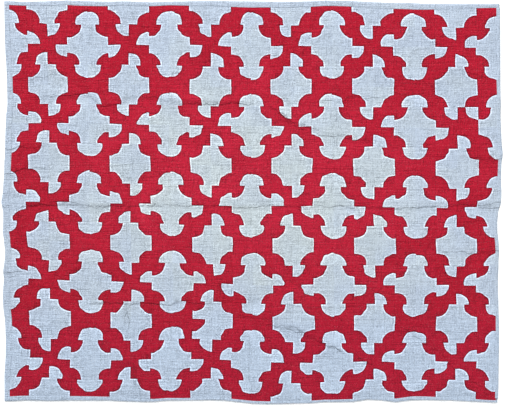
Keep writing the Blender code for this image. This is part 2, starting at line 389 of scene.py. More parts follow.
# %% Crease table
Crease = namedtuple("Crease", "name drop crest path")

# In millimetres
CREASES = (
    Crease("middle fold, left part", 2.3, 1.6, (
        (-1095, -20), (-834, -15), (-660, -22), (-530, -17))),
    Crease("middle fold, second line on the left", 1.0, 0.8, (
        (-850, 5), (-740, -8), (-640, -26))),
    Crease("upper left, outer end", 2.0, 1.3, (
        (-892, 461), (-847, 468), (-756, 468), (-699, 456), (-660, 426))),
    Crease("upper left, middle", 1.3, 0.9, ((-520, 452), (-421, 455), (-290, 430))),
    Crease("upper left, strong end", 4.4, 2.4, (
        (-340, 430), (-225, 428), (-130, 430), (-40, 428))),
    Crease("upper right", 2.6, 1.8, (
        (118, 384), (149, 358), (192, 328), (258, 313), (292, 290), (392, 288), (432, 276),
        (500, 268))),
    Crease("upper right, second line", 1.9, 0.8, ((146, 373), (176, 354), (258, 326))),
    Crease("lower left", 2.1, 1.3, (
        (-700, -439), (-647, -437), (-564, -440), (-538, -456), (-490, -439), (-443, -437),
        (-395, -443), (-373, -448), (-320, -437))),
    Crease("lower right", 2.2, 1.7, (
        (112, -541), (175, -557), (236, -583), (275, -594), (314, -609), (335, -628),
        (362, -630), (395, -656), (449, -659), (484, -687))),
    Crease("lower right, lower line", 1.5, 1.0, ((318, -652), (365, -655))),
    Crease("right edge", 1.5, 1.1, ((810, -210), (870, -215), (949, -222), (1075, -211))),
    Crease("left edge", 3.0, 1.6, ((-1095, -302), (-1050, -302), (-1020, -300))),
    Crease("left edge, upper nick", 1.9, 1.2, (
        (-1095, 233), (-1050, 233), (-1020, 238), (-943, 242))),
    Crease("left edge, lower nick", 2.3, 1.3, (
        (-1095, 119), (-1040, 121), (-1020, 136), (-990, 147), (-925, 151))),
    Crease("right edge, nick", 1.4, 1.0, ((955, 192), (1000, 184), (1085, 184))),
    Crease("lower right corner", 1.2, 1.0, (
        (690, -572), (740, -602), (830, -668), (884, -729), (993, -794))),
    Crease("below the middle, right", 1.0, 0.7, (
        (220, -460), (319, -462), (414, -457), (480, -457))),
    Crease("middle fold, right part", 1.8, 1.4, (
        (-455, -16), (-225, -15), (-8, -23), (170, -16), (340, -20), (645, -23), (949, -13),
        (1093, -7))),
    Crease("lower right, upper line", 1.6, 1.0, ((160, -541), (205, -556), (242, -578))),
    Crease("lower left, weak end", 1.1, 0.8, ((-290, -435), (-203, -437), (-38, -437))),
    Crease("left edge, second line", 2.2, 0.8, ((-1095, -321), (-1040, -322))),
    Crease("left edge, inner end", 0.7, 0.8, (
        (-960, -290), (-838, -276), (-740, -266), (-645, -248))),
    Crease("lower right, start", 0.9, 0.6, ((-73, -489), (14, -504), (84, -506))),
    Crease("lower right, third line", 1.1, 1.2, ((335, -674), (380, -680), (415, -690))),
    Crease("upper right, outer end", 1.2, 0.9, ((315, 444), (400, 444), (430, 457), (520, 453))),
    Crease("upper left, dip", 1.4, 0.9, ((-635, 420), (-586, 424), (-540, 445))),
    Crease("upper left edge", 1.2, 0.9, ((-1035, 538), (-950, 541), (-870, 551))),
    Crease("upper right edge", 1.0, 0.8, ((940, 562), (985, 552), (1030, 546))),
    Crease("middle fold, right end", 2.4, 1.2, ((985, -20), (1040, -26), (1095, -25))),
    Crease("upright tuck, lower left", 3.2, 1.2, ((-541, -470), (-538, -520), (-550, -556))),
    Crease("upright tuck, lower left, second", 2.2, 0.8, (
        (-556, -480), (-556, -535), (-572, -566), (-605, -569))),
    Crease("upright tuck, low", 3.0, 1.0, ((-514, -715), (-510, -765))),
    Crease("upright tuck, bottom edge", 2.6, 1.0, ((-491, -800), (-484, -850))),
    Crease("upright, left of the middle", 1.5, 0.5, ((-79, 250), (-78, 180), (-80, 100))),
    Crease("upright, right of the middle", 1.5, 0.5, ((64, 226), (65, 180), (64, 135))),
    Crease("upright, left of the middle, low", 1.6, 0.5, ((-73, -480), (-73, -545))),
    Crease("upright, middle, low", 1.8, 0.6, ((-8, -620), (-7, -700), (-9, -808))),
    Crease("upright, left quarter", 1.5, 0.6, ((-530, 212), (-528, 150), (-532, 88))),
    Crease("upright, right quarter", 1.6, 0.6, ((643, -503), (645, -552))),
)

# Upright folds are older and softer: a wide shallow dip with no steep side
SoftFold = namedtuple("SoftFold", "name depth x low high half_wide")
SOFT_FOLDS = (
    SoftFold("middle, upright", 0.9, -8, -870, 870, 26),
    SoftFold("left quarter, upright", 0.5, -530, 30, 270, 24),
    SoftFold("right quarter, upright", 0.4, 636, -270, -40, 24),
)

# %% Crease heights
CREST_PLACE = 21 * MM
CREST_HALF = 15 * MM
DROP_PLACE = -4 * MM
STEEP_HALF = 7 * MM
SLOW_HALF = 36 * MM
END_FADE = 45 * MM
SHORT_FADE = 0.35

# Unevenness: its height, the size of its lumps in two directions, and its seed
Lump = namedtuple("Lump", "height cell_x cell_y seed")

# How a crease's line wanders, coarsely and finely, and how its strength comes and goes
LINE_WANDERS = (Lump(5 * MM, 48 * MM, 90 * MM, 20), Lump(5 * MM, 15 * MM, 40 * MM, 80))
STRENGTH_WANDERS = Lump(0.45, 60 * MM, 80 * MM, 40)

# In millimetres: how a soft fold ends, the sharp edge's place above the line, how far its
# marks reach, the drop at which they are full, and how far from it they are still told apart
SOFT_END = 60
EDGE_PLACE = 1.0
EDGE_FADE = 12
CRUMPLE_FADE = 36
FULL_DROP = 2.4
TOLD_APART = 50
FAR_OFF = 1000.0

# The most that a deep crease's marks may exceed full
FULLEST = 1.3


def from_crease(x, y, path):
    """How far points lie above a crease's line, and how far past its ends."""
    nearest = np.full(x.shape, np.inf)
    above = np.zeros(x.shape)
    past = np.zeros(x.shape)
    last = len(path) - 2
    for index, (start, end) in enumerate(zip(path, path[1:])):
        start_x, start_y, end_x, end_y = (value * MM for value in (*start, *end))
        length = math.hypot(end_x - start_x, end_y - start_y)
        run_x, run_y = (end_x - start_x) / length, (end_y - start_y) / length
        along = (x - start_x) * run_x + (y - start_y) * run_y
        off = (y - start_y) * run_x - (x - start_x) * run_y
        over = np.maximum(np.maximum(-along, along - length), 0)
        distance = np.hypot(off, over)
        closer = distance < nearest
        outer = ((along < 0) & (index == 0)) | ((along > length) & (index == last))
        nearest = np.where(closer, distance, nearest)
        above = np.where(closer, np.where(outer, off, np.sign(off) * distance), above)
        past = np.where(closer, np.where(outer, over, 0), past)
    return above, past


def at_crease(x, y, number):
    """How far points lie above one crease's uneven line, and how strong it is there."""
    path = CREASES[number].path
    above, past = from_crease(x, y, path)
    for row in LINE_WANDERS:
        above = above + row.height * noise(x, y, row.cell_x, row.cell_y, row.seed + number)
    row = STRENGTH_WANDERS
    strength = 1 + row.height * noise(x, y, row.cell_x, row.cell_y, row.seed + number)
    length = sum(math.dist(start, end) for start, end in zip(path, path[1:])) * MM
    fade = min(END_FADE, SHORT_FADE * length)
    return above, strength * np.exp(-(past / fade) ** 2)


def crease_height(x, y):
    """What all creases add to the cloth's height."""
    height = np.zeros(x.shape)
    for number, crease in enumerate(CREASES):
        above, strength = at_crease(x, y, number)
        crest = np.exp(-((above - CREST_PLACE) / CREST_HALF) ** 2)
        from_drop = above - DROP_PLACE
        half = np.where(from_drop > 0, STEEP_HALF, SLOW_HALF)
        drop = np.exp(-(from_drop / half) ** 2)
        height += strength * (crease.crest * crest - crease.drop * drop) * MM
    for fold in SOFT_FOLDS:
        from_low = np.clip((y / MM - fold.low) / SOFT_END, 0, 1)
        inside = from_low * np.clip((fold.high - y / MM) / SOFT_END, 0, 1)
        dip = np.exp(-((x / MM - fold.x) / fold.half_wide) ** 2)
        height -= fold.depth * MM * dip * inside
    return height


def crease_marks(x, y):
    """For the cotton's fine relief and its painted crease shade: millimetres above the nearest
    crease, its edge, its crumple.

    The edge fades within a finger's width of the line, so no false line can show between two
    creases. The crumple reaches three times as far.
    """
    nearest = np.full(x.shape, FAR_OFF)
    edge = np.zeros(x.shape)
    crumple = np.zeros(x.shape)
    for number, crease in enumerate(CREASES):
        above, strength = at_crease(x, y, number)
        off = above / MM - EDGE_PLACE
        full = strength * min(crease.drop / FULL_DROP, FULLEST)
        closer = np.abs(off) < np.abs(nearest)
        nearest = np.where(closer, off, nearest)
        edge = np.where(closer, full * np.exp(-(off / EDGE_FADE) ** 2), edge)
        crumple = np.maximum(crumple, full * np.exp(-(off / CRUMPLE_FADE) ** 2))
    return np.clip(nearest, -TOLD_APART, TOLD_APART), edge, crumple


# %% [markdown]
# ## The lie of the cloth
#
# Quilting draws the layers down to the thread and leaves the wadding to stand between the
# rows. After washing, the cotton shrinks on its thread and the face crinkles. So the height is
# a sum of plain causes: slack in the cloth, creases, a ditch at each seam, a ditch at each row
# of stitches, and puckers a finger's width across.

# %% Height of the face
ROWS_A_SQUARE = 3
ROW_PITCH = SQUARE_DEEP / ROWS_A_SQUARE
RIM_LEVEL = 4.9 * MM
RIM_FADE = 40 * MM
LOWEST_FACE = 4.4 * MM
LOWEST_RIM = 3.4 * MM
CREASE_AT_RIM = 0.6
UNDER_DEEP = 1.0 * MM
UNDER_SLOPE = 1.5 * MM

SLACK = (
    Lump(0.9 * MM, 310 * MM, 240 * MM, 1),
    Lump(0.7 * MM, 120 * MM, 96 * MM, 2),
    Lump(0.18 * MM, 52 * MM, 40 * MM, 3),
)
PUCKERS = (
    Lump(0.14 * MM, 24 * MM, 15 * MM, 4),
    Lump(0.19 * MM, 13 * MM, 9 * MM, 5),
)

# Beside a seam the cloth is gathered a little, most of all along an arc
GATHERS = (
    Lump(0.34 * MM, 7.5 * MM, 6.5 * MM, 6),
)
GATHER_REACH = 10 * MM


def lumps(x, y, table):
    """The sum of several sizes of unevenness."""
    return sum(row.height * noise(x, y, row.cell_x, row.cell_y, row.seed) for row in table)


def inside_binding(x, y):
    """How far points lie inside the bindings' seams; less than nothing under a binding."""
    sides = (
        x - LEFT - binding_wide("left", y),
        RIGHT - x - binding_wide("right", y),
        y - BOTTOM - binding_wide("bottom", x),
        TOP - y - binding_wide("top", x),
    )
    return np.minimum.reduce(sides)


def cloth_level(x, y):
    """The height of the quilt's layers, without seams, stitches or puckers."""
    creased = crease_height(x, y)
    inside = inside_binding(x, y)
    share = eased(np.clip(inside / RIM_FADE, 0, 1))
    rim = RIM_LEVEL + CREASE_AT_RIM * np.minimum(creased, 0)
    level = FACE_LEVEL + lumps(x, y, SLACK) + creased
    lowest = LOWEST_RIM + (LOWEST_FACE - LOWEST_RIM) * share
    under = UNDER_DEEP * np.clip(-inside / UNDER_SLOPE, 0, 1)
    return np.maximum(rim + (level - rim) * share, lowest) - under


# %% Height with seams and stitches
SEAM_DEEP = 0.45 * MM
PLAIN_SEAM_SHARE = 0.4
SEAM_HALF = 1.8 * MM
PUFF = 0.33 * MM
PUFF_REACH = 9 * MM
STITCH_DEEP = 0.9 * MM
STITCH_HALF = 3.2 * MM
DEEPEST = -2.2 * MM
FADE_AT_RIM = 12 * MM


def from_stitch_row(flat_y):
    """The distance from the nearest row of quilting, measured before the rows drift."""
    rows = (PIECING_TOP - flat_y) / ROW_PITCH
    return (rows - np.floor(rows) - 0.5) * ROW_PITCH


def face_height(x, y, flat_y, inset, seam_share):
    """The height of the pieced face.

    inset is the distance in from the nearest seam, and seam_share tells how near the other
    colour is. Where red meets white the allowances are pressed hard and the ditch is deeper.
    """
    red_meets_white = np.minimum(2 * seam_share, 1)
    seam_deep = SEAM_DEEP * (PLAIN_SEAM_SHARE + (1 - PLAIN_SEAM_SHARE) * red_meets_white)
    relief = PUFF * (1 - np.exp(-inset / PUFF_REACH)) - seam_deep * np.exp(-inset / SEAM_HALF)
    relief = relief - STITCH_DEEP * np.exp(-(from_stitch_row(flat_y) / STITCH_HALF) ** 2)
    relief = relief + lumps(x, y, PUCKERS) + lumps(x, y, GATHERS) * np.exp(-inset / GATHER_REACH)
    share = np.clip(inside_binding(x, y) / FADE_AT_RIM, 0, 1)
    return cloth_level(x, y) + np.maximum(relief, DEEPEST) * share


# %% [markdown]
# ## Cotton
#
# Both cloths are plain-woven cotton with a dull, slightly hairy face: no gloss, a faint sheen
# at a low angle. The red is an old madder-like dye. Both dyes are painted paler on the crests
# of the furrows and darker in their troughs, painted light and shade over the relief, and the
# red is painted darker beside its seams with the white. The white has gone cool with washing.
# One function makes every cotton, so that all share the same weave, slubs and crinkle and
# differ in dye and wear.

# %% Node helper


def add_node(tree, kind, settings=None, inputs=None):
    """Add a node, set its properties, and set or link its inputs, by name or in their order."""
    node = tree.nodes.new(kind)
    for name, value in (settings or {}).items():
        setattr(node, name, value)
    named = inputs if isinstance(inputs, dict) else dict(enumerate(inputs or ()))
    for name, value in named.items():
        if isinstance(value, bpy.types.NodeSocket):
            tree.links.new(value, node.inputs[name])
        else:
            node.inputs[name].default_value = value
    return node


# %% What varies over the cloth
THREAD_PITCH = 0.45 * MM
DRAWN_THREADS = 3
THREAD_WAVER = 0.6

# At scale 1 the bands of a wave texture are this many metres apart
WAVE_BANDS = math.pi / 10

# A noise texture: the size of its lumps in two directions, then its own settings
Texture = namedtuple("Texture", "name wide high detail roughness distortion kind",
                     defaults=(0.5, 0.0, "FBM"))
TEXTURES = (
    Texture("furrows_across", 56 * MM, 4.7 * MM, 1.0),
    Texture("furrows_upright", 4.7 * MM, 56 * MM, 1.0),
    Texture("crinkle", 4.9 * MM, 4.9 * MM, 0.5, distortion=0.4),
    Texture("pucker_patches", 24 * MM, 24 * MM, 0.0),
    Texture("mottle", 4.2 * MM, 4.2 * MM, 0.5),
    Texture("lint", 5 * MM, 5 * MM, 1.0),
    Texture("fading", 190 * MM, 190 * MM, 2.0),
    Texture("wrinkles", 44 * MM, 18 * MM, 2.5, 0.6, 0.5, "RIDGED_MULTIFRACTAL"),
)

# What the points of a piece carry; where a piece lacks one, its value is nought
CARRIED = ("gathered", "seam_halo_and_double", "tone", "bolt", "crease_off", "crease_edge", "crumple")

# Where the cottons look most worn: a wide oval round the middle, its half sizes in metres
CREAM_WIDE = 1.25
CREAM_DEEP = 0.78
CREAM_UP = 0.05


def what_varies(tree, place):
    """The sockets of all that varies over the cloth, by name."""
    at = {}
    for row in TEXTURES:
        stretched = add_node(tree, "ShaderNodeMapping", None, {
            "Vector": place, "Scale": (1 / row.wide, 1 / row.high, 1 / row.high)})
        at[row.name] = add_node(tree, "ShaderNodeTexNoise", {"noise_type": row.kind}, {
            "Vector": stretched.outputs["Vector"], "Scale": 1.0, "Detail": row.detail,
            "Roughness": row.roughness, "Distortion": row.distortion}).outputs["Fac"]
    for name in CARRIED:
        at[name] = add_node(tree, "ShaderNodeAttribute", {"attribute_name": name}).outputs["Fac"]
    at["from_crease"] = add_node(tree, "ShaderNodeMath", {"operation": "ABSOLUTE"},
                                 [at["crease_off"]]).outputs[0]
    sides = add_node(tree, "ShaderNodeSeparateXYZ", None, [place])
    at["right"], at["up"] = sides.outputs["X"], sides.outputs["Y"]
    oval = add_node(tree, "ShaderNodeMapping", {"vector_type": "TEXTURE"}, {
        "Vector": place, "Location": (0.0, CREAM_UP, 0.0), "Scale": (CREAM_WIDE, CREAM_DEEP, 1.0)})
    at["from_middle"] = add_node(tree, "ShaderNodeVectorMath", {"operation": "LENGTH"},
                                 [oval.outputs["Vector"]]).outputs["Value"]

    # Real threads are 0.45 mm apart and would not show, so three are drawn as one
    bands = [add_node(tree, "ShaderNodeTexWave", {"bands_direction": way}, {
        "Vector": place, "Scale": WAVE_BANDS / (THREAD_PITCH * DRAWN_THREADS),
        "Distortion": THREAD_WAVER}).outputs["Fac"] for way in "XY"]
    at["weave"] = add_node(tree, "ShaderNodeMath", {"operation": "ADD"}, bands).outputs[0]
    return at


# %% Sizes of dye, wear and relief
DULL_CLOTH = {"Roughness": 0.95, "Specular IOR Level": 0.1, "Sheen Weight": 0.04,
              "Sheen Roughness": 0.5}

# How far the worn colour goes: in the middle, by place, and by scrap
CREAM_FADES = (0.15, 1.0)
CREAM_MOST = 0.8
CREAM_UNEVEN = 1.4
CREAM_BY_SCRAP = 0.2

# Below the first height all scraps are of a cooler bolt, above the second none are
LOW_ROWS = (-0.62, -0.40)

# Values of the noise between which puckers get stronger, lint shows and a mottle deepens
PUCKER_EDGES = (0.35, 0.65)
LINT_EDGES = (0.58, 0.70)
MOTTLE_EDGES = (0.38, 0.62)
NOISE_MIDDLE = 0.5

PUCKER_PATCHY = 0.2
UPRIGHT_SHARE = 1.6
# How strongly the dye is painted darker in the furrows' troughs and lighter on their crests
FURROW_SHADE_TONE = 0.27
SCRAP_TONE = 0.035

# Half the width in millimetres, and the strength, of the painted shade along a crease's line
CREASE_SHADE_HALF = 4.0
CREASE_SHADE = 0.37

# Heights of the relief; a crease's sharp edge has half this width, in millimetres
THREAD_DEEP = 0.05 * MM
THREAD_STRENGTH = 0.8
CRINKLE_SHARE = 0.7
WRINKLE_DEEP = 1.3 * MM
WRINKLE_EVERYWHERE = 0.25
EDGE_DEEP = 1.5 * MM
EDGE_HALF = 2.0

# %% Cotton material

# A value that goes from one share to another while what it depends on goes from low to high
Range = namedtuple("Range", "name by low high at_low at_high way", defaults=("SMOOTHSTEP",))


def cotton(name, dye, worn, low, lint, linty, mottled, halo_and_double_tone, low_edge=1.0,
           crinkle_deep=2.4 * MM, calm=1.0, drawn_up=0.0, calmer_right=0.0):
    """A plain-woven cotton: its dye, the dye where worn and in the lowest rows, and its lint.

    mottled is how much deeper the dye goes between worn threads, linty how much of the lint's
    colour shows where it lies.
    The seam tone is a painted highlight and painted shade beside a seam where red meets white:
    above nought the dye is painted lighter there, below nought darker. It also sets how much
    paler a small white quarter is over its doubled allowance.
    low_edge is the dye's strength at the bottom of the quilt, a painted shade that darkens it
    towards the bottom.
    calm is how strong the crinkle is in the middle of a patch, drawn_up how much stronger it
    gets at a seam with the other colour, and calmer_right how much it eases towards the right.
    """
    material = bpy.data.materials.new(name)
    material.use_nodes = True
    tree = material.node_tree
    shader = tree.nodes["Principled BSDF"]
    for socket, value in DULL_CLOTH.items():
        shader.inputs[socket].default_value = value
    at = what_varies(tree, add_node(tree, "ShaderNodeTexCoord").outputs["Object"])

    ranges = (
        Range("cream_middle", "from_middle", *CREAM_FADES, CREAM_MOST, 0.0),
        Range("by_side", "right", LEFT, RIGHT, 1 + calmer_right, 1 - calmer_right, "LINEAR"),
        Range("patchy", "pucker_patches", *PUCKER_EDGES, 1 - PUCKER_PATCHY, 1 + PUCKER_PATCHY),
        Range("other_bolt", "up", *LOW_ROWS, 1.0, 0.0),
        Range("lint_here", "lint", *LINT_EDGES, 0.0, linty),
        Range("spots", "mottle", *MOTTLE_EDGES, -mottled / 2, mottled / 2),
        # Painted shade along each crease's line
        Range("painted_crease_shade", "from_crease", 0.0, CREASE_SHADE_HALF, CREASE_SHADE, 0.0),
        # Painted shade: the dye darker towards the bottom of the quilt
        Range("painted_low_shade", "up", BOTTOM, TOP / 3, low_edge, 1.0, "LINEAR"),
        Range("step", "crease_off", -EDGE_HALF, EDGE_HALF, 0.0, 1.0),
    )
    for row in ranges:
        at[row.name] = add_node(tree, "ShaderNodeMapRange", {"interpolation_type": row.way}, {
            "Value": at[row.by], "From Min": row.low, "From Max": row.high,
            "To Min": row.at_low, "To Max": row.at_high}).outputs["Result"]

    # Grain and crinkle are taken from their middle, so that more of them doesn't lift the cloth.
    # The dye's strength goes scrap by scrap. Beside a seam where red meets white it is painted
    # lighter on the white and darker on the red, a painted highlight and painted shade, and a small
    # white quarter is a little paler over its doubled allowance. Then come a painted shade in the
    # furrows' troughs with painted light on their crests, the mottle, a painted shade along each
    # crease's line, and a painted shade that darkens the quilt towards the bottom
    sums = (
        ("cream_uneven", "MULTIPLY_ADD", "fading", CREAM_UNEVEN, -CREAM_UNEVEN / 2),
        ("cream_by_scrap", "MULTIPLY_ADD", "bolt", CREAM_BY_SCRAP, "cream_uneven"),
        ("creamy", "ADD", "cream_middle", "cream_by_scrap"),
        ("how_crinkled", "MULTIPLY_ADD", "gathered", drawn_up, calm),
        ("how_crinkled", "MULTIPLY", "how_crinkled", "by_side"),
        ("how_crinkled", "MULTIPLY", "how_crinkled", "patchy"),
        ("grain", "MULTIPLY_ADD", "furrows_upright", UPRIGHT_SHARE, "furrows_across"),
        ("grain", "SUBTRACT", "grain", (1 + UPRIGHT_SHARE) * NOISE_MIDDLE),
        ("grain", "MULTIPLY", "grain", "how_crinkled"),
        ("crinkled", "SUBTRACT", "crinkle", NOISE_MIDDLE),
        ("crinkled", "MULTIPLY", "crinkled", "how_crinkled"),
        ("strength", "MULTIPLY_ADD", "tone", SCRAP_TONE, 1.0),
        # Painted highlight on the white and painted shade on the red beside seams where they meet
        ("strength", "MULTIPLY_ADD", "seam_halo_and_double", halo_and_double_tone, "strength"),
        # Painted shade in the furrows' troughs and painted light on their crests
        ("painted_furrow_shade", "MULTIPLY_ADD", "grain", FURROW_SHADE_TONE, 1.0),
        ("strength", "MULTIPLY", "strength", "painted_furrow_shade"),
        ("spotted", "MULTIPLY_ADD", "spots", "how_crinkled", 1 - mottled / 2),
        ("strength", "MULTIPLY", "strength", "spotted"),
        # Painted shade along each crease's line, made uneven by the crinkle
        ("painted_crease_shade", "MULTIPLY", "painted_crease_shade", "crease_edge"),
        ("painted_crease_shade", "MULTIPLY", "painted_crease_shade", "crinkle"),
        ("strength", "SUBTRACT", "strength", "painted_crease_shade"),
        # Painted shade towards the bottom
        ("strength", "MULTIPLY", "strength", "painted_low_shade"),
        ("how_wrinkled", "ADD", "crumple", WRINKLE_EVERYWHERE),
        ("wrinkled", "MULTIPLY", "wrinkles", "how_wrinkled"),
        ("step", "MULTIPLY", "step", "crease_edge"),
    )
    for result, operation, *values in sums:
        at[result] = add_node(tree, "ShaderNodeMath", {"operation": operation},
                              [at.get(value, value) for value in values]).outputs[0]

    # Dye: by place, by bolt, then the lint on it
    colour = linear(dye)
    for share, other in (("creamy", worn), ("other_bolt", low), ("lint_here", lint)):
        colour = add_node(tree, "ShaderNodeMix", {"data_type": "RGBA", "clamp_factor": True},
                          {0: at[share], 6: colour, 7: linear(other)}).outputs[2]
    dyed = add_node(tree, "ShaderNodeVectorMath", {"operation": "SCALE"},
                    {0: colour, "Scale": at["strength"]})
    tree.links.new(dyed.outputs["Vector"], shader.inputs["Base Color"])

    # Relief: threads, furrows, the crinkle that washing leaves, then thin ridged wrinkles,
    # thickest round the creases, and the sharp edge of each crease
    reliefs = (
        ("weave", THREAD_DEEP, THREAD_STRENGTH),
        ("grain", crinkle_deep, 1.0),
        ("crinkled", crinkle_deep * CRINKLE_SHARE, 1.0),
        ("wrinkled", WRINKLE_DEEP, 1.0),
        ("step", EDGE_DEEP, 1.0),
    )
    below = {}
    for height, deep, strength in reliefs:
        bump = add_node(tree, "ShaderNodeBump", None,
                        {"Height": at[height], "Distance": deep, "Strength": strength, **below})
        below = {"Normal": bump.outputs["Normal"]}
    tree.links.new(bump.outputs["Normal"], shader.inputs["Normal"])
    return material


# %% The three cottons

# Dyes and wear were set by comparing mean tones of the render with the photograph's
red_cotton = cotton("turkey_red_plain_weave", dye="#b1182f", worn="#c0223b", low="#b41a34",
                    lint="#d07f89", linty=0.12, mottled=0.32, halo_and_double_tone=-0.42, low_edge=0.88,
                    crinkle_deep=4.3 * MM, calm=0.62, drawn_up=0.5)
white_cotton = cotton("washed_white_muslin", dye="#b3c0d1", worn="#bdc8cd", low="#b3c2d5",
                      lint="#d8dde0", linty=0.2, mottled=0.27, halo_and_double_tone=0.62, low_edge=0.98,
                      crinkle_deep=2.7 * MM, calm=0.84, drawn_up=0.3, calmer_right=0.07)
thread_cotton = cotton("white_quilting_thread", dye="#b4bcc4", worn="#b4bcc4", low="#b4bcc4",
                       lint="#b4bcc4", linty=0.0, mottled=0.08, halo_and_double_tone=0.0,
                       crinkle_deep=0.1 * MM)
print("cottons", red_cotton.name, white_cotton.name, thread_cotton.name)

# %% [markdown]
# ## The two templates
#
# Each square needs two cut pieces: the quarter-circle, and the ground it is set into. Both are
# laid out as grids of small quads that follow their own seams, because a seam that cuts across
# quads looks like a saw. The quarter is a square grid bent so that two of its sides become the
# arc. The ground's grid runs from the arc out to the square's two far sides. Each point keeps
# its distance from the nearest seam, as `inset`, for the ditches to use later.

# %% Template meshes
QUARTER_STEPS = 14
GROUND_STEPS = 12
EDGE_CROWDING = 0.6


def crowded(count):
    """Shares from 0 to 1 that lie closer together near both ends, where the seams are."""
    even = np.linspace(0, 1, count + 1)
    return even * (1 - EDGE_CROWDING) + (0.5 - 0.5 * np.cos(math.pi * even)) * EDGE_CROWDING


def grid_faces(rows, columns):
    """The quads of a grid of points stored row by row."""
    first = np.arange((rows - 1) * columns).reshape(rows - 1, columns)[:, :-1].ravel()
    return np.column_stack((first, first + 1, first + columns + 1, first + columns))


def store_points(mesh, name, values):
    """Keep one named value for every point of a mesh."""
    store = mesh.attributes.new(name, "FLOAT", "POINT")
    store.data.foreach_set("value", np.asarray(values, np.float32).ravel())


def template(name, x, y, inset):
    """A template mesh, centred on its square, from a grid of points and their insets."""
    points = np.column_stack((x.ravel() - 0.5, y.ravel() - 0.5, np.zeros(x.size)))
    mesh = bpy.data.meshes.new(name)
    mesh.from_pydata(points.tolist(), [], grid_faces(*x.shape).tolist())
    store_points(mesh, "inset", inset)
    thing = add_object(name, mesh)
    thing.hide_render = True
    return thing


def quarter_template():
    """The quarter-circle, its middle at the square's lower left corner."""
    a, b = np.meshgrid(crowded(QUARTER_STEPS), crowded(QUARTER_STEPS))
    radius = np.maximum(a, b)
    safe = np.maximum(radius, 1e-9)
    turn = np.where(a >= b, math.pi / 4 * b / safe, math.pi / 2 - math.pi / 4 * a / safe)
    radius = radius * ARC_SHARE
    x, y = radius * np.cos(turn), radius * np.sin(turn)
    inset = np.minimum(np.minimum(x, y), ARC_SHARE - radius)
    return template("quarter_template", x, y, np.maximum(inset, 0))


def ground_template():
    """The ground round the quarter-circle, out to the square's far sides."""
    along, outward = np.meshgrid(crowded(2 * QUARTER_STEPS), crowded(GROUND_STEPS))
    turn = along * math.pi / 2
    arc_x, arc_y = ARC_SHARE * np.cos(turn), ARC_SHARE * np.sin(turn)
    far_x, far_y = np.minimum(2 - 2 * along, 1), np.minimum(2 * along, 1)
    x, y = arc_x + (far_x - arc_x) * outward, arc_y + (far_y - arc_y) * outward
    to_sides = np.minimum.reduce((x, y, 1 - x, 1 - y))
    inset = np.minimum(to_sides, np.hypot(x, y) - ARC_SHARE)
    return template("ground_template", x[::-1], y[::-1], np.maximum(inset, 0)[::-1])


quarter = quarter_template()
ground = ground_template()
print("template quads", len(quarter.data.polygons), len(ground.data.polygons))

# %% [markdown]
# ## The chart
#
# The whole pattern is one block of four by four squares. Around its rim the squares are always
# turned the same way. The four in its middle make a pinwheel, and the maker let it spin either
# way, so each block has its own letter. Two squares were sewn in a wrong turn, and such slips
# are kept: they are what makes this quilt itself. Letters and slips were read off the
# photograph.

# %% Chart of the block

# Ground's colour, R or W, then the corner that the quarter-circle sits in; P is the pinwheel
BLOCK = (
    ("R BL", "W BL", "W BR", "R BR"),
    ("W TR", "P", "P", "W TL"),
    ("W BR", "P", "P", "W BL"),
    ("R TL", "W TL", "W TR", "R TR"),
)
# Corners in the pinwheel's four squares: upper left, upper right, lower left, lower right
PINWHEELS = {"A": ("BL", "TL", "BR", "TR"), "B": ("TR", "BR", "TL", "BL")}
BLOCK_SPINS = ("ABBBBB", "ABBBBB", "AABABA", "ABAABB", "BABABB")
SLIPS = {(22, 5): "TR", (9, 16): "TL"}
QUARTER_TURNS = {"BL": 0, "BR": 1, "TR": 2, "TL": 3}


def square_at(column, row):
    """One square's ground, 1 for red, and its quarter turns from the lower left corner."""
    u, v = column % BLOCK_SQUARES, row % BLOCK_SQUARES
    code = BLOCK[v][u]
    if code == "P":
        spin = BLOCK_SPINS[row // BLOCK_SQUARES][column // BLOCK_SQUARES]
        code = "R " + PINWHEELS[spin][(u - 1) + 2 * (v - 1)]
    colour, corner = code.split()
    corner = SLIPS.get((column, row), corner)
    return (1 if colour == "R" else 0), QUARTER_TURNS[corner]


chart = np.array([[square_at(c, r) for c in range(SQUARES_ACROSS)] for r in range(SQUARES_DOWN)])
red_grounds, turns = chart[..., 0], chart[..., 1]
print("red grounds", int(red_grounds.sum()), "of", red_grounds.size)


def is_red(u, v):
    """Whether a place on the chart is red; u counts squares rightwards, v downwards."""
    column = np.clip(np.floor(u).astype(int), 0, SQUARES_ACROSS - 1)
    row = np.clip(np.floor(v).astype(int), 0, SQUARES_DOWN - 1)
    turn = turns[row, column]
    right, down = u - column, v - row
    from_side = np.where((turn == 1) | (turn == 2), 1 - right, right)
    from_end = np.where(turn >= 2, down, 1 - down)
    in_quarter = np.hypot(from_side, from_end) < ARC_SHARE
    return (red_grounds[row, column] == 1) != in_quarter


# %% [markdown]
# ## Piecing with Geometry Nodes
#
# A repeat like this is what Geometry Nodes are for. Each square of the chart is one point that
# knows its ground and its turn. The tree puts a ground on the points whose ground has the
# wanted colour, and a quarter on the others, turns them, gives each a tone of its own because
# no two scraps take dye alike, and makes the instances real.

# %% Geometry Nodes helpers


def new_tree(name, sockets):
    """A geometry tree with a geometry in and out, and named inputs."""
    tree = bpy.data.node_groups.new(name, "GeometryNodeTree")
    tree.interface.new_socket("Geometry", in_out="INPUT", socket_type="NodeSocketGeometry")
    tree.interface.new_socket("Geometry", in_out="OUTPUT", socket_type="NodeSocketGeometry")
    for title, kind in sockets.items():
        tree.interface.new_socket(title, in_out="INPUT", socket_type="NodeSocket" + kind)
    return tree, tree.nodes.new("NodeGroupInput"), tree.nodes.new("NodeGroupOutput")


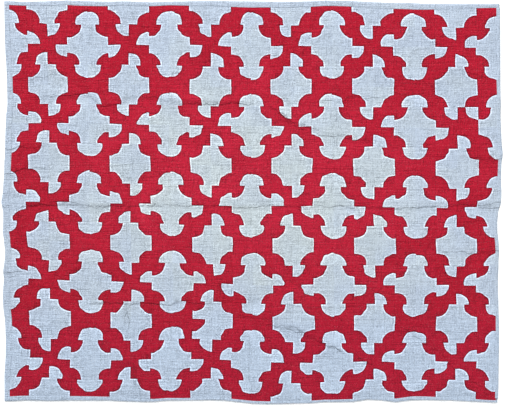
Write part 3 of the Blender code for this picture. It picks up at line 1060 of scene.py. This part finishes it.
def grown(name, mesh, tree, values):
    """Run a mesh through a tree with these inputs, and return the plain mesh that it makes."""
    seed_thing = add_object(name + "_seed", mesh)
    modifier = seed_thing.modifiers.new("grow", "NODES")
    modifier.node_group = tree
    for item in tree.interface.items_tree:
        if item.item_type == "SOCKET" and item.in_out == "INPUT" and item.name in values:
            modifier[item.identifier] = values[item.name]
    depsgraph = bpy.context.evaluated_depsgraph_get()
    result = bpy.data.meshes.new_from_object(seed_thing.evaluated_get(depsgraph))
    result.name = name
    bpy.data.objects.remove(seed_thing, do_unlink=True)
    return result


# %% The piecing tree
BOLT_SEED_SHIFT = 50.0
GROUND_EPSILON = 0.1

piecing, given, out = new_tree("piecing", {
    "Quarter": "Object", "Ground": "Object", "Red wanted": "Float",
    "Square wide": "Float", "Square deep": "Float", "Seed": "Int", "Cotton": "Material"})
red_ground, turn = (
    add_node(piecing, "GeometryNodeInputNamedAttribute", {"data_type": "FLOAT"}, {"Name": name})
    for name in ("red_ground", "turn"))
same = add_node(piecing, "FunctionNodeCompare", {"data_type": "FLOAT", "operation": "EQUAL"},
                {0: red_ground.outputs["Attribute"], 1: given.outputs["Red wanted"],
                 "Epsilon": GROUND_EPSILON})
other = add_node(piecing, "FunctionNodeBooleanMath", {"operation": "NOT"},
                 {0: same.outputs["Result"]})
angle = add_node(piecing, "ShaderNodeMath", {"operation": "MULTIPLY"},
                 {0: turn.outputs["Attribute"], 1: math.pi / 2})
spin = add_node(piecing, "ShaderNodeCombineXYZ", None, {"Z": angle.outputs[0]})
spin = add_node(piecing, "FunctionNodeEulerToRotation", None, {0: spin.outputs[0]})
laid_out = []
for source, chosen in (("Ground", same), ("Quarter", other)):
    cut = add_node(piecing, "GeometryNodeObjectInfo", {"transform_space": "ORIGINAL"},
                   {"Object": given.outputs[source]})
    laid_out.append(add_node(piecing, "GeometryNodeInstanceOnPoints", None, {
        "Points": given.outputs["Geometry"], "Selection": chosen.outputs[0],
        "Instance": cut.outputs["Geometry"], "Rotation": spin.outputs[0]}))
joined = add_node(piecing, "GeometryNodeJoinGeometry")
for placed in laid_out:
    piecing.links.new(placed.outputs["Instances"], joined.inputs["Geometry"])
toned = joined
for name, seed_shift in (("tone", 0.0), ("bolt", BOLT_SEED_SHIFT)):
    seed = add_node(piecing, "ShaderNodeMath", {"operation": "ADD"},
                    {0: given.outputs["Seed"], 1: seed_shift})
    chance = add_node(piecing, "FunctionNodeRandomValue", {"data_type": "FLOAT"},
                      {2: -1.0, 3: 1.0, "Seed": seed.outputs[0]})
    toned = add_node(piecing, "GeometryNodeStoreNamedAttribute",
                     {"data_type": "FLOAT", "domain": "INSTANCE"},
                     {"Geometry": toned.outputs[0], "Name": name, "Value": chance.outputs[1]})
real = add_node(piecing, "GeometryNodeRealizeInstances", None, {"Geometry": toned.outputs[0]})
scale = add_node(piecing, "ShaderNodeCombineXYZ", None,
                 {"X": given.outputs["Square wide"], "Y": given.outputs["Square deep"], "Z": 1.0})
sized = add_node(piecing, "GeometryNodeTransform", None,
                 {"Geometry": real.outputs[0], "Scale": scale.outputs[0]})
made = add_node(piecing, "GeometryNodeSetMaterial", None,
                {"Geometry": sized.outputs[0], "Material": given.outputs["Cotton"]})
piecing.links.new(made.outputs[0], out.inputs["Geometry"])

# %% [markdown]
# ## Sewing the face
#
# The pieced squares come out of the tree as a flat, even grid. Laying them out is the same for
# every point: drift with the seams, stop just under the binding, follow the waving edge, and
# take the height of the face. Red and white patches of one row of blocks are one piece each.

# %% Scissors and needle

# How far a quarter's size slips and its arc goes off round, as shares of its size. These and
# the four shares below were set by the arcs' radii, measured in the photograph and the render
ARC_SLIP = 0.06
ARC_FACET = 0.055
FACET_TURN = math.radians(19)
FACET_APART = 7.0
ROW_SLIP = 1.3 * MM
ROW_SLIP_CELL = 150 * MM
SLIP_SEED, FACET_SEED, ROW_SLIP_SEED = 7, 8, 9

# How much larger than the template each quarter came out, and how much fuller on its diagonal
RED_LARGER, RED_FULLER = 0.007, 0.024
WHITE_LARGER, WHITE_FULLER = -0.028, 0.042


def hand_cut(u, v, column, row, turn):
    """Move points of each square as the arc's cutting and sewing wandered, sides kept."""
    right, down = u - column, v - row
    mirrored, upended = (turn == 1) | (turn == 2), turn >= 2
    from_side = np.where(mirrored, 1 - right, right)
    from_end = np.where(upended, down, 1 - down)
    radius, around = np.hypot(from_side, from_end), np.arctan2(from_end, from_side)
    slips = np.random.default_rng(SLIP_SEED).uniform(-1, 1, chart.shape[:2])
    slip = ARC_SLIP * slips[row, column]
    facet = ARC_FACET * noise(around + column * FACET_APART, row * 1.0, FACET_TURN, 1.0, FACET_SEED)
    white_quarter = red_grounds[row, column] == 1
    larger = np.where(white_quarter, WHITE_LARGER, RED_LARGER)
    fuller = np.where(white_quarter, WHITE_FULLER, RED_FULLER) * np.sin(2 * around) ** 2
    reach = np.where(radius < ARC_SHARE, radius / ARC_SHARE, (1 - radius) / (1 - ARC_SHARE))
    stretch = 1 + (slip + facet + larger + fuller) * np.clip(reach, 0, 1)
    from_side, from_end = from_side * stretch, from_end * stretch
    right = np.where(mirrored, 1 - from_side, from_side)
    down = np.where(upended, from_end, 1 - from_end)
    return column + right, row + down


# %% Lay the patches
UNDER_BINDING = 4 * MM
RIM_ALLOWANCE = 9 * MM
ALLOWANCE = 5.2 * MM
GATHERED_REACHES = (8 * MM, 18 * MM, 32 * MM)
SEAM_LOOKS = 16
# How quickly the painted seam highlight and shade come in near the other colour
SEAM_HALO_GAIN = 3.0
WHITE_QUARTER_DOUBLE = 0.12
SMALLEST_FACE = 1e-9


def block_row_points(block_row):
    """One point for each square in a row of blocks, with all that the tree and scissors need."""
    rows = range(block_row * BLOCK_SQUARES, (block_row + 1) * BLOCK_SQUARES)
    cells = [(c, r) for r in rows for c in range(SQUARES_ACROSS)]
    mesh = bpy.data.meshes.new("squares")
    mesh.from_pydata([(c + 0.5, -(r + 0.5), 0.0) for c, r in cells], [], [])
    store_points(mesh, "red_ground", [red_grounds[r, c] for c, r in cells])
    store_points(mesh, "turn", [turns[r, c] for c, r in cells])
    store_points(mesh, "column", [c for c, r in cells])
    store_points(mesh, "row", [r for c, r in cells])
    return mesh


def read_points(mesh, name):
    """One named value for every point of a mesh."""
    values = np.empty(len(mesh.vertices), np.float32)
    mesh.attributes[name].data.foreach_get("value", values)
    return values.astype(float)


def store_crease_marks(mesh, x, y):
    """Keep what the cotton's fine relief and its painted crease shade need to know of the creases
    at every point.
    """
    for mark, values in zip(("crease_off", "crease_edge", "crumple"), crease_marks(x, y)):
        store_points(mesh, mark, values)


def share_of_other(u, v, red, reach):
    """How much of a circle round each point, this far out, is cloth of the other colour."""
    total = np.zeros(u.shape)
    for look in range(SEAM_LOOKS):
        turn_by = 2 * math.pi * (look + 0.5) / SEAM_LOOKS
        step_u = reach / SQUARE_WIDE * math.cos(turn_by)
        step_v = reach / SQUARE_DEEP * math.sin(turn_by)
        total += is_red(u + step_u, v + step_v) != red
    return total / SEAM_LOOKS


def reach_out(place, squares):
    """How far places in the outermost squares move out, as these were cut with more to turn in."""
    before, after = np.clip(1 - place, 0, 1), np.clip(place - squares + 1, 0, 1)
    return RIM_ALLOWANCE * (after ** 4 - before ** 4)


def set_points(mesh, x, y, z):
    """Move a mesh's points to these places."""
    mesh.vertices.foreach_set("co", np.column_stack((x, y, z)).astype(np.float32).ravel())
    mesh.update()


def get_points(mesh):
    """A mesh's points as three columns."""
    values = np.empty(len(mesh.vertices) * 3, np.float32)
    mesh.vertices.foreach_get("co", values)
    return values.reshape(-1, 3).astype(float)


def drop_slivers(mesh):
    """Delete the faces that were folded flat under a binding, and their loose points."""
    bm = bmesh.new()
    bm.from_mesh(mesh)
    slivers = [face for face in bm.faces if face.calc_area() < SMALLEST_FACE]
    bmesh.ops.delete(bm, geom=slivers, context="FACES")
    loose = [vert for vert in bm.verts if not vert.link_faces]
    bmesh.ops.delete(bm, geom=loose, context="VERTS")
    bm.to_mesh(mesh)
    bm.free()


def sew_patches(name, block_row, red):
    """The patches of one colour in one row of blocks, lying as they do in the quilt."""
    mesh = grown(name, block_row_points(block_row), piecing, {
        "Quarter": quarter, "Ground": ground, "Red wanted": 1.0 if red else 0.0,
        "Square wide": SQUARE_WIDE, "Square deep": SQUARE_DEEP, "Seed": block_row + 10 * red,
        "Cotton": red_cotton if red else white_cotton})
    points = get_points(mesh)
    u, v = points[:, 0] / SQUARE_WIDE, -points[:, 1] / SQUARE_DEEP
    inset = read_points(mesh, "inset") * SQUARE_WIDE
    column, row, turn = (np.round(read_points(mesh, name)).astype(int)
                         for name in ("column", "row", "turn"))
    seam_share = share_of_other(u, v, red, ALLOWANCE)
    gathered = [np.minimum(2 * share_of_other(u, v, red, reach), 1) for reach in GATHERED_REACHES]
    store_points(mesh, "gathered", np.mean(gathered, axis=0))
    # Beside a seam where red meets white the dye is painted lighter on the white and darker on  the
    # red: a painted highlight and painted shade
    seam_halo_and_double = np.minimum(seam_share * SEAM_HALO_GAIN, 1)
    if not red:
        # A small white quarter has its allowances behind nearly all of it
        in_quarter = red_grounds[row, column] == 1
        seam_halo_and_double = np.maximum(seam_halo_and_double, WHITE_QUARTER_DOUBLE * in_quarter)
    store_points(mesh, "seam_halo_and_double", seam_halo_and_double)
    u, v = hand_cut(u, v, column, row, turn)
    flat_x, flat_y = PIECING_LEFT + u * SQUARE_WIDE, PIECING_TOP - v * SQUARE_DEEP
    flat_x = flat_x + ROW_SLIP * noise(flat_x, row * 1.0, ROW_SLIP_CELL, 1.0, ROW_SLIP_SEED)
    x, y = drifted(flat_x + reach_out(u, SQUARES_ACROSS), flat_y - reach_out(v, SQUARES_DOWN))
    in_x = np.clip(x, LEFT + binding_wide("left", y) - UNDER_BINDING,
                   RIGHT - binding_wide("right", y) + UNDER_BINDING)
    in_y = np.clip(y, BOTTOM + binding_wide("bottom", x) - UNDER_BINDING,
                   TOP - binding_wide("top", x) + UNDER_BINDING)
    x, y = in_x, in_y
    z = face_height(x, y, flat_y, inset, seam_share)
    store_crease_marks(mesh, x, y)
    laid_x, laid_y = pulled(x, y)
    set_points(mesh, laid_x, laid_y, z)
    for spare in ("inset", "column", "row", "turn", "red_ground"):
        mesh.attributes.remove(mesh.attributes[spare])
    drop_slivers(mesh)
    mesh.shade_smooth()
    return add_object(name, mesh)


patch_pieces = []
for block_row in range(SQUARES_DOWN // BLOCK_SQUARES):
    for red, colour in ((True, "red"), (False, "white")):
        piece = sew_patches(f"{colour}_patches_row_{block_row + 1}", block_row, red)
        patch_pieces.append(piece)
        print(piece.name, len(piece.data.polygons), "quads")

# %% [markdown]
# ## Wadding and back
#
# Under the face lie the wadding and a plain white back. They hardly show, but they carry the
# face, close the quilt from below and fill the thickness at its rim. One closed body stands
# for both: its upper side follows the creases a little under the patches, its lower side is
# flat where the quilt rests, and its rim is thin where the binding folds round it.

# %% The body under the face
BODY_STEP = 12 * MM
BELOW_FACE = 3.0 * MM
BACK_WIDE = 16 * MM
RIM_INSET = 3.5 * MM
RIM_TOP = 3.6 * MM
RIM_BOTTOM = 1.4 * MM
STEP_SLOPE = 1.0 * MM
THINNEST = 1.0 * MM
RIM_THIN = 0.5 * MM
RIM_LINES = 2


def body_lines(low, high):
    """Where the body's grid lines run: the rim, the binding's lower leg, then evenly."""
    first, last = low + BACK_WIDE + STEP_SLOPE, high - BACK_WIDE - STEP_SLOPE
    count = round((last - first) / BODY_STEP)
    inner = np.linspace(first, last, count + 1)
    before = (low + RIM_INSET, low + BACK_WIDE)
    after = (high - BACK_WIDE, high - RIM_INSET)
    return np.concatenate((before, inner, after))


def ring_round(numbers, lines_in):
    """The point numbers round a grid, this many lines in from its rim."""
    rows, columns = numbers.shape
    inner = numbers[lines_in:rows - lines_in, lines_in:columns - lines_in]
    return np.concatenate((inner[0, :-1], inner[:-1, -1], inner[-1, :0:-1], inner[:0:-1, 0]))


def closed_slab(name, x, y, top, bottom):
    """A closed mesh over one grid of places: sheet above, rim, and one flat face below."""
    rows, columns = x.shape
    under = rows * columns
    upper = np.column_stack((x.ravel(), y.ravel(), top.ravel()))
    lower = np.column_stack((x.ravel(), y.ravel(), bottom.ravel()))
    quads = grid_faces(rows, columns)
    numbers = np.arange(under).reshape(rows, columns)
    i, j = np.divmod(np.arange(len(quads)), columns - 1)
    from_rim = np.minimum.reduce((i, j, rows - 2 - i, columns - 2 - j))
    rim_quads = quads[from_rim < RIM_LINES][:, ::-1] + under
    around = ring_round(numbers, 0)
    ahead = np.roll(around, -1)
    walls = np.column_stack((around, around + under, ahead + under, ahead))
    floor_face = (ring_round(numbers, RIM_LINES) + under)[::-1]
    mesh = bpy.data.meshes.new(name)
    mesh.from_pydata(np.concatenate((upper, lower)).tolist(), [],
                     quads.tolist() + rim_quads.tolist() + walls.tolist() + [floor_face.tolist()])
    mesh.polygons.foreach_set("use_smooth", np.arange(len(mesh.polygons)) < len(quads))
    drop_slivers(mesh)
    return mesh


grid_x, grid_y = np.meshgrid(body_lines(LEFT, RIGHT), body_lines(BOTTOM, TOP))
from_edge = np.minimum.reduce((grid_x - LEFT, RIGHT - grid_x, grid_y - BOTTOM, TOP - grid_y))
in_rim = from_edge < BACK_WIDE + STEP_SLOPE / 2
body_top = np.maximum(cloth_level(grid_x, grid_y) - BELOW_FACE, THINNEST)
body_top = np.where(in_rim, np.clip(body_top, RIM_BOTTOM + RIM_THIN, RIM_TOP), body_top)
body_bottom = np.where(in_rim, RIM_BOTTOM, 0.0)
body_mesh = closed_slab("wadding_and_back", *pulled(grid_x, grid_y), body_top, body_bottom)
wadding_and_back = add_object("wadding_and_back", body_mesh)
wadding_and_back.data.materials.append(white_cotton)
print("body quads", len(body_mesh.polygons))

# %% [markdown]
# ## Binding
#
# The raw edge is finished with a strip folded over it and hemmed down by hand on the face.
# Its section is a flattened U: an upper leg that lies on the patches, a round fold at the
# edge, and a lower leg on the floor. The lower leg was sewn on straight, and the upper one
# shows its measured width. Each crease that runs into a strip pinches it, and a small uneven
# pinch runs all along it.
# Top and bottom strips cover the ends of the side ones.

# %% Binding strips
BINDING_STEP = 5 * MM
BINDING_CLOTH = 0.9 * MM
WIDTH_WANDER = 0.7 * MM
WIDTH_WANDER_CELL = 60 * MM

# The fold at the edge reaches out a little further on two sides, over longer wadding
FOLD_PROUD = {"left": 0.0, "right": 3.5 * MM, "top": 0.0, "bottom": 0.5 * MM}

PINCH = 0.35 * MM
PINCH_CELL = 14 * MM
STRIP_SEED, PINCH_SEED = 60, 70
END_ROUND = 5 * MM
END_FULLNESS = 0.55

# The inside of the fold: how far in from the edge it turns, and its room round the body's rim
INNER_TURN = 0.2
RIM_ROOM = 0.2 * MM
SEAM_CLOTH = 0.5 * MM

# Shares of a leg's width in from the edge, and heights in millimetres, round the outside
UPPER_LEG = ((1.00, 5.1), (0.94, 5.4), (0.75, 5.5), (0.45, 5.5), (0.18, 5.3), (0.06, 4.6))
LOWER_LEG = ((0.00, 2.9), (0.05, 1.0), (0.16, 0.1), (0.60, 0.0), (1.00, 0.0))
EDGE_HEIGHT = LOWER_LEG[0][1] * MM
SEAM_HEIGHT = UPPER_LEG[0][1] * MM


def section_ring():
    """A closed ring round the folded strip: shares of each leg's width, and heights in metres."""
    upper = [(share, 0.0, height * MM) for share, height in UPPER_LEG]
    lower = [(0.0, share, height * MM) for share, height in LOWER_LEG]
    inner = [(0.0, 1.0, BINDING_CLOTH), (0.0, INNER_TURN, RIM_BOTTOM - RIM_ROOM),
             (0.0, INNER_TURN, RIM_TOP + RIM_ROOM), (1.0, 0.0, SEAM_HEIGHT - SEAM_CLOTH)]
    return np.array(upper + lower + inner)


def strip_places(side):
    """Evenly spaced places along a side, and how much the strip's ends close in."""
    if side in ("left", "right"):
        low, high = BOTTOM + BINDING_WIDE["bottom"], TOP - BINDING_WIDE["top"]
    else:
        low, high = LEFT, RIGHT
    places = np.linspace(low, high, round((high - low) / BINDING_STEP) + 1)
    closing = np.ones(places.shape)
    if side in ("top", "bottom"):
        closing = np.clip(np.minimum(places - low, high - places) / END_ROUND, 0.0, 1.0)
    return places, END_FULLNESS + (1 - END_FULLNESS) * np.sqrt(closing)


def bind(side):
    """One binding strip, with its ends closed."""
    facts = SIDES[side]
    places, fullness = strip_places(side)
    ring = section_ring()
    number = list(SIDES).index(side)
    wander = 0.5 + 0.5 * noise(places, places * 0, WIDTH_WANDER_CELL, 1, STRIP_SEED + number)
    wide = binding_wide(side, places) + WIDTH_WANDER * wander
    inward = wide[:, None] * ring[None, :, 0] + BACK_WIDE * ring[None, :, 1]
    proud = FOLD_PROUD[side] * (1 - ring[:, 0]) * (1 - ring[:, 1])
    across = facts["straight"] + facts["out"] * (proud[None, :] - inward)
    along = np.broadcast_to(places[:, None], across.shape)
    flat_x, flat_y = (across, along) if facts["across"] == 0 else (along, across)
    pinch = PINCH * noise(places, places * 0, PINCH_CELL, 1, PINCH_SEED + number)[:, None]
    creased = CREASE_AT_RIM * np.minimum(crease_height(flat_x, flat_y), 0)
    pinch = pinch + np.maximum(creased, LOWEST_RIM - RIM_LEVEL)
    height = EDGE_HEIGHT + (ring[None, :, 2] - EDGE_HEIGHT) * fullness[:, None]
    height = height + pinch * (ring[:, 2] > EDGE_HEIGHT)[None, :]
    x, y = pulled(flat_x, flat_y)
    rings, points = across.shape
    quads = []
    for row in range(rings - 1):
        for step in range(points):
            after = (step + 1) % points
            quads.append((row * points + step, row * points + after,
                          (row + 1) * points + after, (row + 1) * points + step))
    caps = [tuple(range(points)), tuple(range((rings - 1) * points, rings * points))]
    mesh = bpy.data.meshes.new("binding_strip_" + side)
    mesh.from_pydata(np.column_stack((x.ravel(), y.ravel(), height.ravel())).tolist(), [],
                     quads + caps)
    store_crease_marks(mesh, flat_x.ravel(), flat_y.ravel())
    bm = bmesh.new()
    bm.from_mesh(mesh)
    bmesh.ops.recalc_face_normals(bm, faces=bm.faces)
    bm.to_mesh(mesh)
    bm.free()
    mesh.shade_smooth()
    mesh.materials.append(white_cotton)
    return add_object("binding_strip_" + side, mesh)


binding_strips = {side: bind(side) for side in SIDES}
print("binding quads", sum(len(strip.data.polygons) for strip in binding_strips.values()))

# %% [markdown]
# ## Stitches
#
# Rows of small running stitches hold the three layers together, and a slanting hemming stitch
# holds each binding down. Three rows to a square is a guess, because the photograph doesn't
# resolve them. A stitch follows a line, so Geometry Nodes take each line as a curve, space
# points along it, and set one small spindle of thread on each. Each line is first set down on
# the sewn face from above, so that no stitch floats or sinks.

# %% The stitch tree
sewing, given, out = new_tree("sewing", {
    "Stitch": "Object", "Pitch": "Float", "Slant": "Float", "Uneven": "Float",
    "Seed": "Int", "Thread": "Material"})
curve = add_node(sewing, "GeometryNodeMeshToCurve", None, {"Mesh": given.outputs["Geometry"]})
spaced = add_node(sewing, "GeometryNodeResampleCurve", {"mode": "LENGTH"},
                  {"Curve": curve.outputs[0], "Length": given.outputs["Pitch"]})
tangent = add_node(sewing, "GeometryNodeInputTangent")
facing = add_node(sewing, "FunctionNodeAlignRotationToVector", {"axis": "X"},
                  {"Vector": tangent.outputs[0]})
lean = add_node(sewing, "ShaderNodeCombineXYZ", None, {"Z": given.outputs["Slant"]})
lean = add_node(sewing, "FunctionNodeEulerToRotation", None, {0: lean.outputs[0]})
slanted = add_node(sewing, "FunctionNodeRotateRotation", {"rotation_space": "LOCAL"},
                   {"Rotation": facing.outputs[0], "Rotate By": lean.outputs[0]})
least = add_node(sewing, "ShaderNodeMath", {"operation": "SUBTRACT"},
                 {0: 1.0, 1: given.outputs["Uneven"]})
most = add_node(sewing, "ShaderNodeMath", {"operation": "ADD"},
                {0: 1.0, 1: given.outputs["Uneven"]})
size = add_node(sewing, "FunctionNodeRandomValue", {"data_type": "FLOAT"},
                {2: least.outputs[0], 3: most.outputs[0], "Seed": given.outputs["Seed"]})
long_by = add_node(sewing, "ShaderNodeCombineXYZ", None,
                   {"X": size.outputs[1], "Y": 1.0, "Z": 1.0})
sewn = add_node(sewing, "GeometryNodeInstanceOnPoints", None)
stitch_in = add_node(sewing, "GeometryNodeObjectInfo", {"transform_space": "ORIGINAL"},
                     {"Object": given.outputs["Stitch"]})
for source, target in ((spaced.outputs[0], "Points"), (stitch_in.outputs["Geometry"], "Instance"),
                       (slanted.outputs[0], "Rotation"), (long_by.outputs[0], "Scale")):
    sewing.links.new(source, sewn.inputs[target])
real = add_node(sewing, "GeometryNodeRealizeInstances", None, {"Geometry": sewn.outputs[0]})
made = add_node(sewing, "GeometryNodeSetMaterial", None,
                {"Geometry": real.outputs[0], "Material": given.outputs["Thread"]})
sewing.links.new(made.outputs[0], out.inputs["Geometry"])

# %% One stitch, and the lines it runs along
STITCH_LONG = 2.6 * MM
STITCH_THICK = 0.34 * MM
STITCH_SIDES = 3
SAME_POINT = 0.01 * MM
QUILTING_PITCH = 7.0 * MM
QUILTING_UNEVEN, QUILTING_SEED = 0.2, 3
HEM_PITCH = 7.0 * MM
HEM_UNEVEN, HEM_SEED = 0.25, 5
HEM_SLANT = math.radians(55)
LINE_STEP = 3 * MM
ON_THE_FACE = 0.04 * MM
LOOK_DOWN_FROM = 50 * MM


def spindle():
    """A stitch: a low spindle of thread along X, pointed at both ends."""
    bm = bmesh.new()
    bmesh.ops.create_cone(bm, cap_ends=False, segments=STITCH_SIDES, radius1=STITCH_THICK / 2,
                          radius2=0, depth=STITCH_LONG / 2)
    for vert in bm.verts:
        across, up, along = vert.co.x, vert.co.y, vert.co.z + STITCH_LONG / 4
        vert.co = (along, across, up)
    bmesh.ops.mirror(bm, geom=bm.verts[:] + bm.edges[:] + bm.faces[:], axis="X",
                     merge_dist=SAME_POINT)
    bmesh.ops.recalc_face_normals(bm, faces=bm.faces)
    mesh = bpy.data.meshes.new("stitch")
    bm.to_mesh(mesh)
    bm.free()
    mesh.shade_smooth()
    thing = add_object("stitch", mesh)
    thing.hide_render = True
    return thing


def line_mesh(name, lines):
    """Several open lines of points as one mesh of edges."""
    points, edges = [], []
    for line in lines:
        first = len(points)
        points += [tuple(point) for point in line]
        edges += [(first + i, first + i + 1) for i in range(len(line) - 1)]
    mesh = bpy.data.meshes.new(name)
    mesh.from_pydata(points, edges, [])
    return mesh


def all_faces(pieces):
    """The faces of several pieces in one search tree."""
    points, faces = [], []
    for piece in pieces:
        first = len(points)
        points += [vert.co for vert in piece.data.vertices]
        faces += [[first + corner for corner in face.vertices] for face in piece.data.polygons]
    return BVHTree.FromPolygons(points, faces)


def laid_on(face, x, y, guess):
    """Points of a line set down on the face from above; guess is for a ray that meets no face."""
    line = []
    for place_x, place_y, near in zip(x, y, guess):
        hit = face.ray_cast(Vector((place_x, place_y, LOOK_DOWN_FROM)), Vector((0, 0, -1)))[0]
        line.append((place_x, place_y, (hit.z if hit else near) + ON_THE_FACE))
    return np.array(line)


def quilting_lines(face):
    """The rows of quilting, from binding to binding, lying in their ditches."""
    count = SQUARES_DOWN * ROWS_A_SQUARE
    flat_x = np.arange(LEFT, RIGHT, LINE_STEP)
    lines = []
    for row in range(count):
        flat_y = np.full(flat_x.shape, PIECING_TOP - (row + 0.5) * ROW_PITCH)
        x, y = drifted(flat_x, flat_y)
        kept = inside_binding(x, y) > LINE_STEP
        laid_x, laid_y = pulled(x, y)
        if kept.any():
            level = cloth_level(x, y)
            lines.append(laid_on(face, laid_x[kept], laid_y[kept], level[kept]))
    return lines


stitch = spindle()
sewn_face = all_faces(patch_pieces)
quilting_mesh = grown("quilting_stitches", line_mesh("rows", quilting_lines(sewn_face)), sewing, {
    "Stitch": stitch, "Pitch": QUILTING_PITCH, "Slant": 0.0, "Uneven": QUILTING_UNEVEN,
    "Seed": QUILTING_SEED, "Thread": thread_cotton})
quilting_stitches = add_object("quilting_stitches", quilting_mesh)
print("quilting faces", len(quilting_mesh.polygons))

# %% Hemming stitches
HEM_IN = 0.3 * MM
HEM_ENDS = BINDING_WIDE["left"]


def hem_line(side, face):
    """The line where a strip is hemmed to the face."""
    facts = SIDES[side]
    places, _ = strip_places(side)
    across = facts["straight"] - facts["out"] * (binding_wide(side, places) + HEM_IN)
    x, y = pulled(across, places) if facts["across"] == 0 else pulled(places, across)
    from_end = np.minimum(places - places[0], places[-1] - places)
    inner = from_end > HEM_ENDS
    return laid_on(face, x[inner], y[inner], np.full(x[inner].shape, SEAM_HEIGHT))


hems = [hem_line(side, sewn_face) for side in SIDES]
hem_mesh = grown("hemming_stitches", line_mesh("hems", hems), sewing, {
    "Stitch": stitch, "Pitch": HEM_PITCH, "Slant": HEM_SLANT, "Uneven": HEM_UNEVEN,
    "Seed": HEM_SEED, "Thread": thread_cotton})
hemming_stitches = add_object("hemming_stitches", hem_mesh)
print("hemming faces", len(hem_mesh.polygons))

for helper in (stitch, quarter, ground):
    bpy.data.objects.remove(helper, do_unlink=True)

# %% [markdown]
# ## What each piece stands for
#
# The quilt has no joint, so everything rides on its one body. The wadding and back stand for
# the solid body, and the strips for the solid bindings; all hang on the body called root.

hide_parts("quilt")
for side, strip in binding_strips.items():
    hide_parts("binding_" + side)
on_the_sheet = patch_pieces + list(binding_strips.values()) + [quilting_stitches, hemming_stitches]
for piece in [wadding_and_back] + on_the_sheet:
    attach(piece, "root")
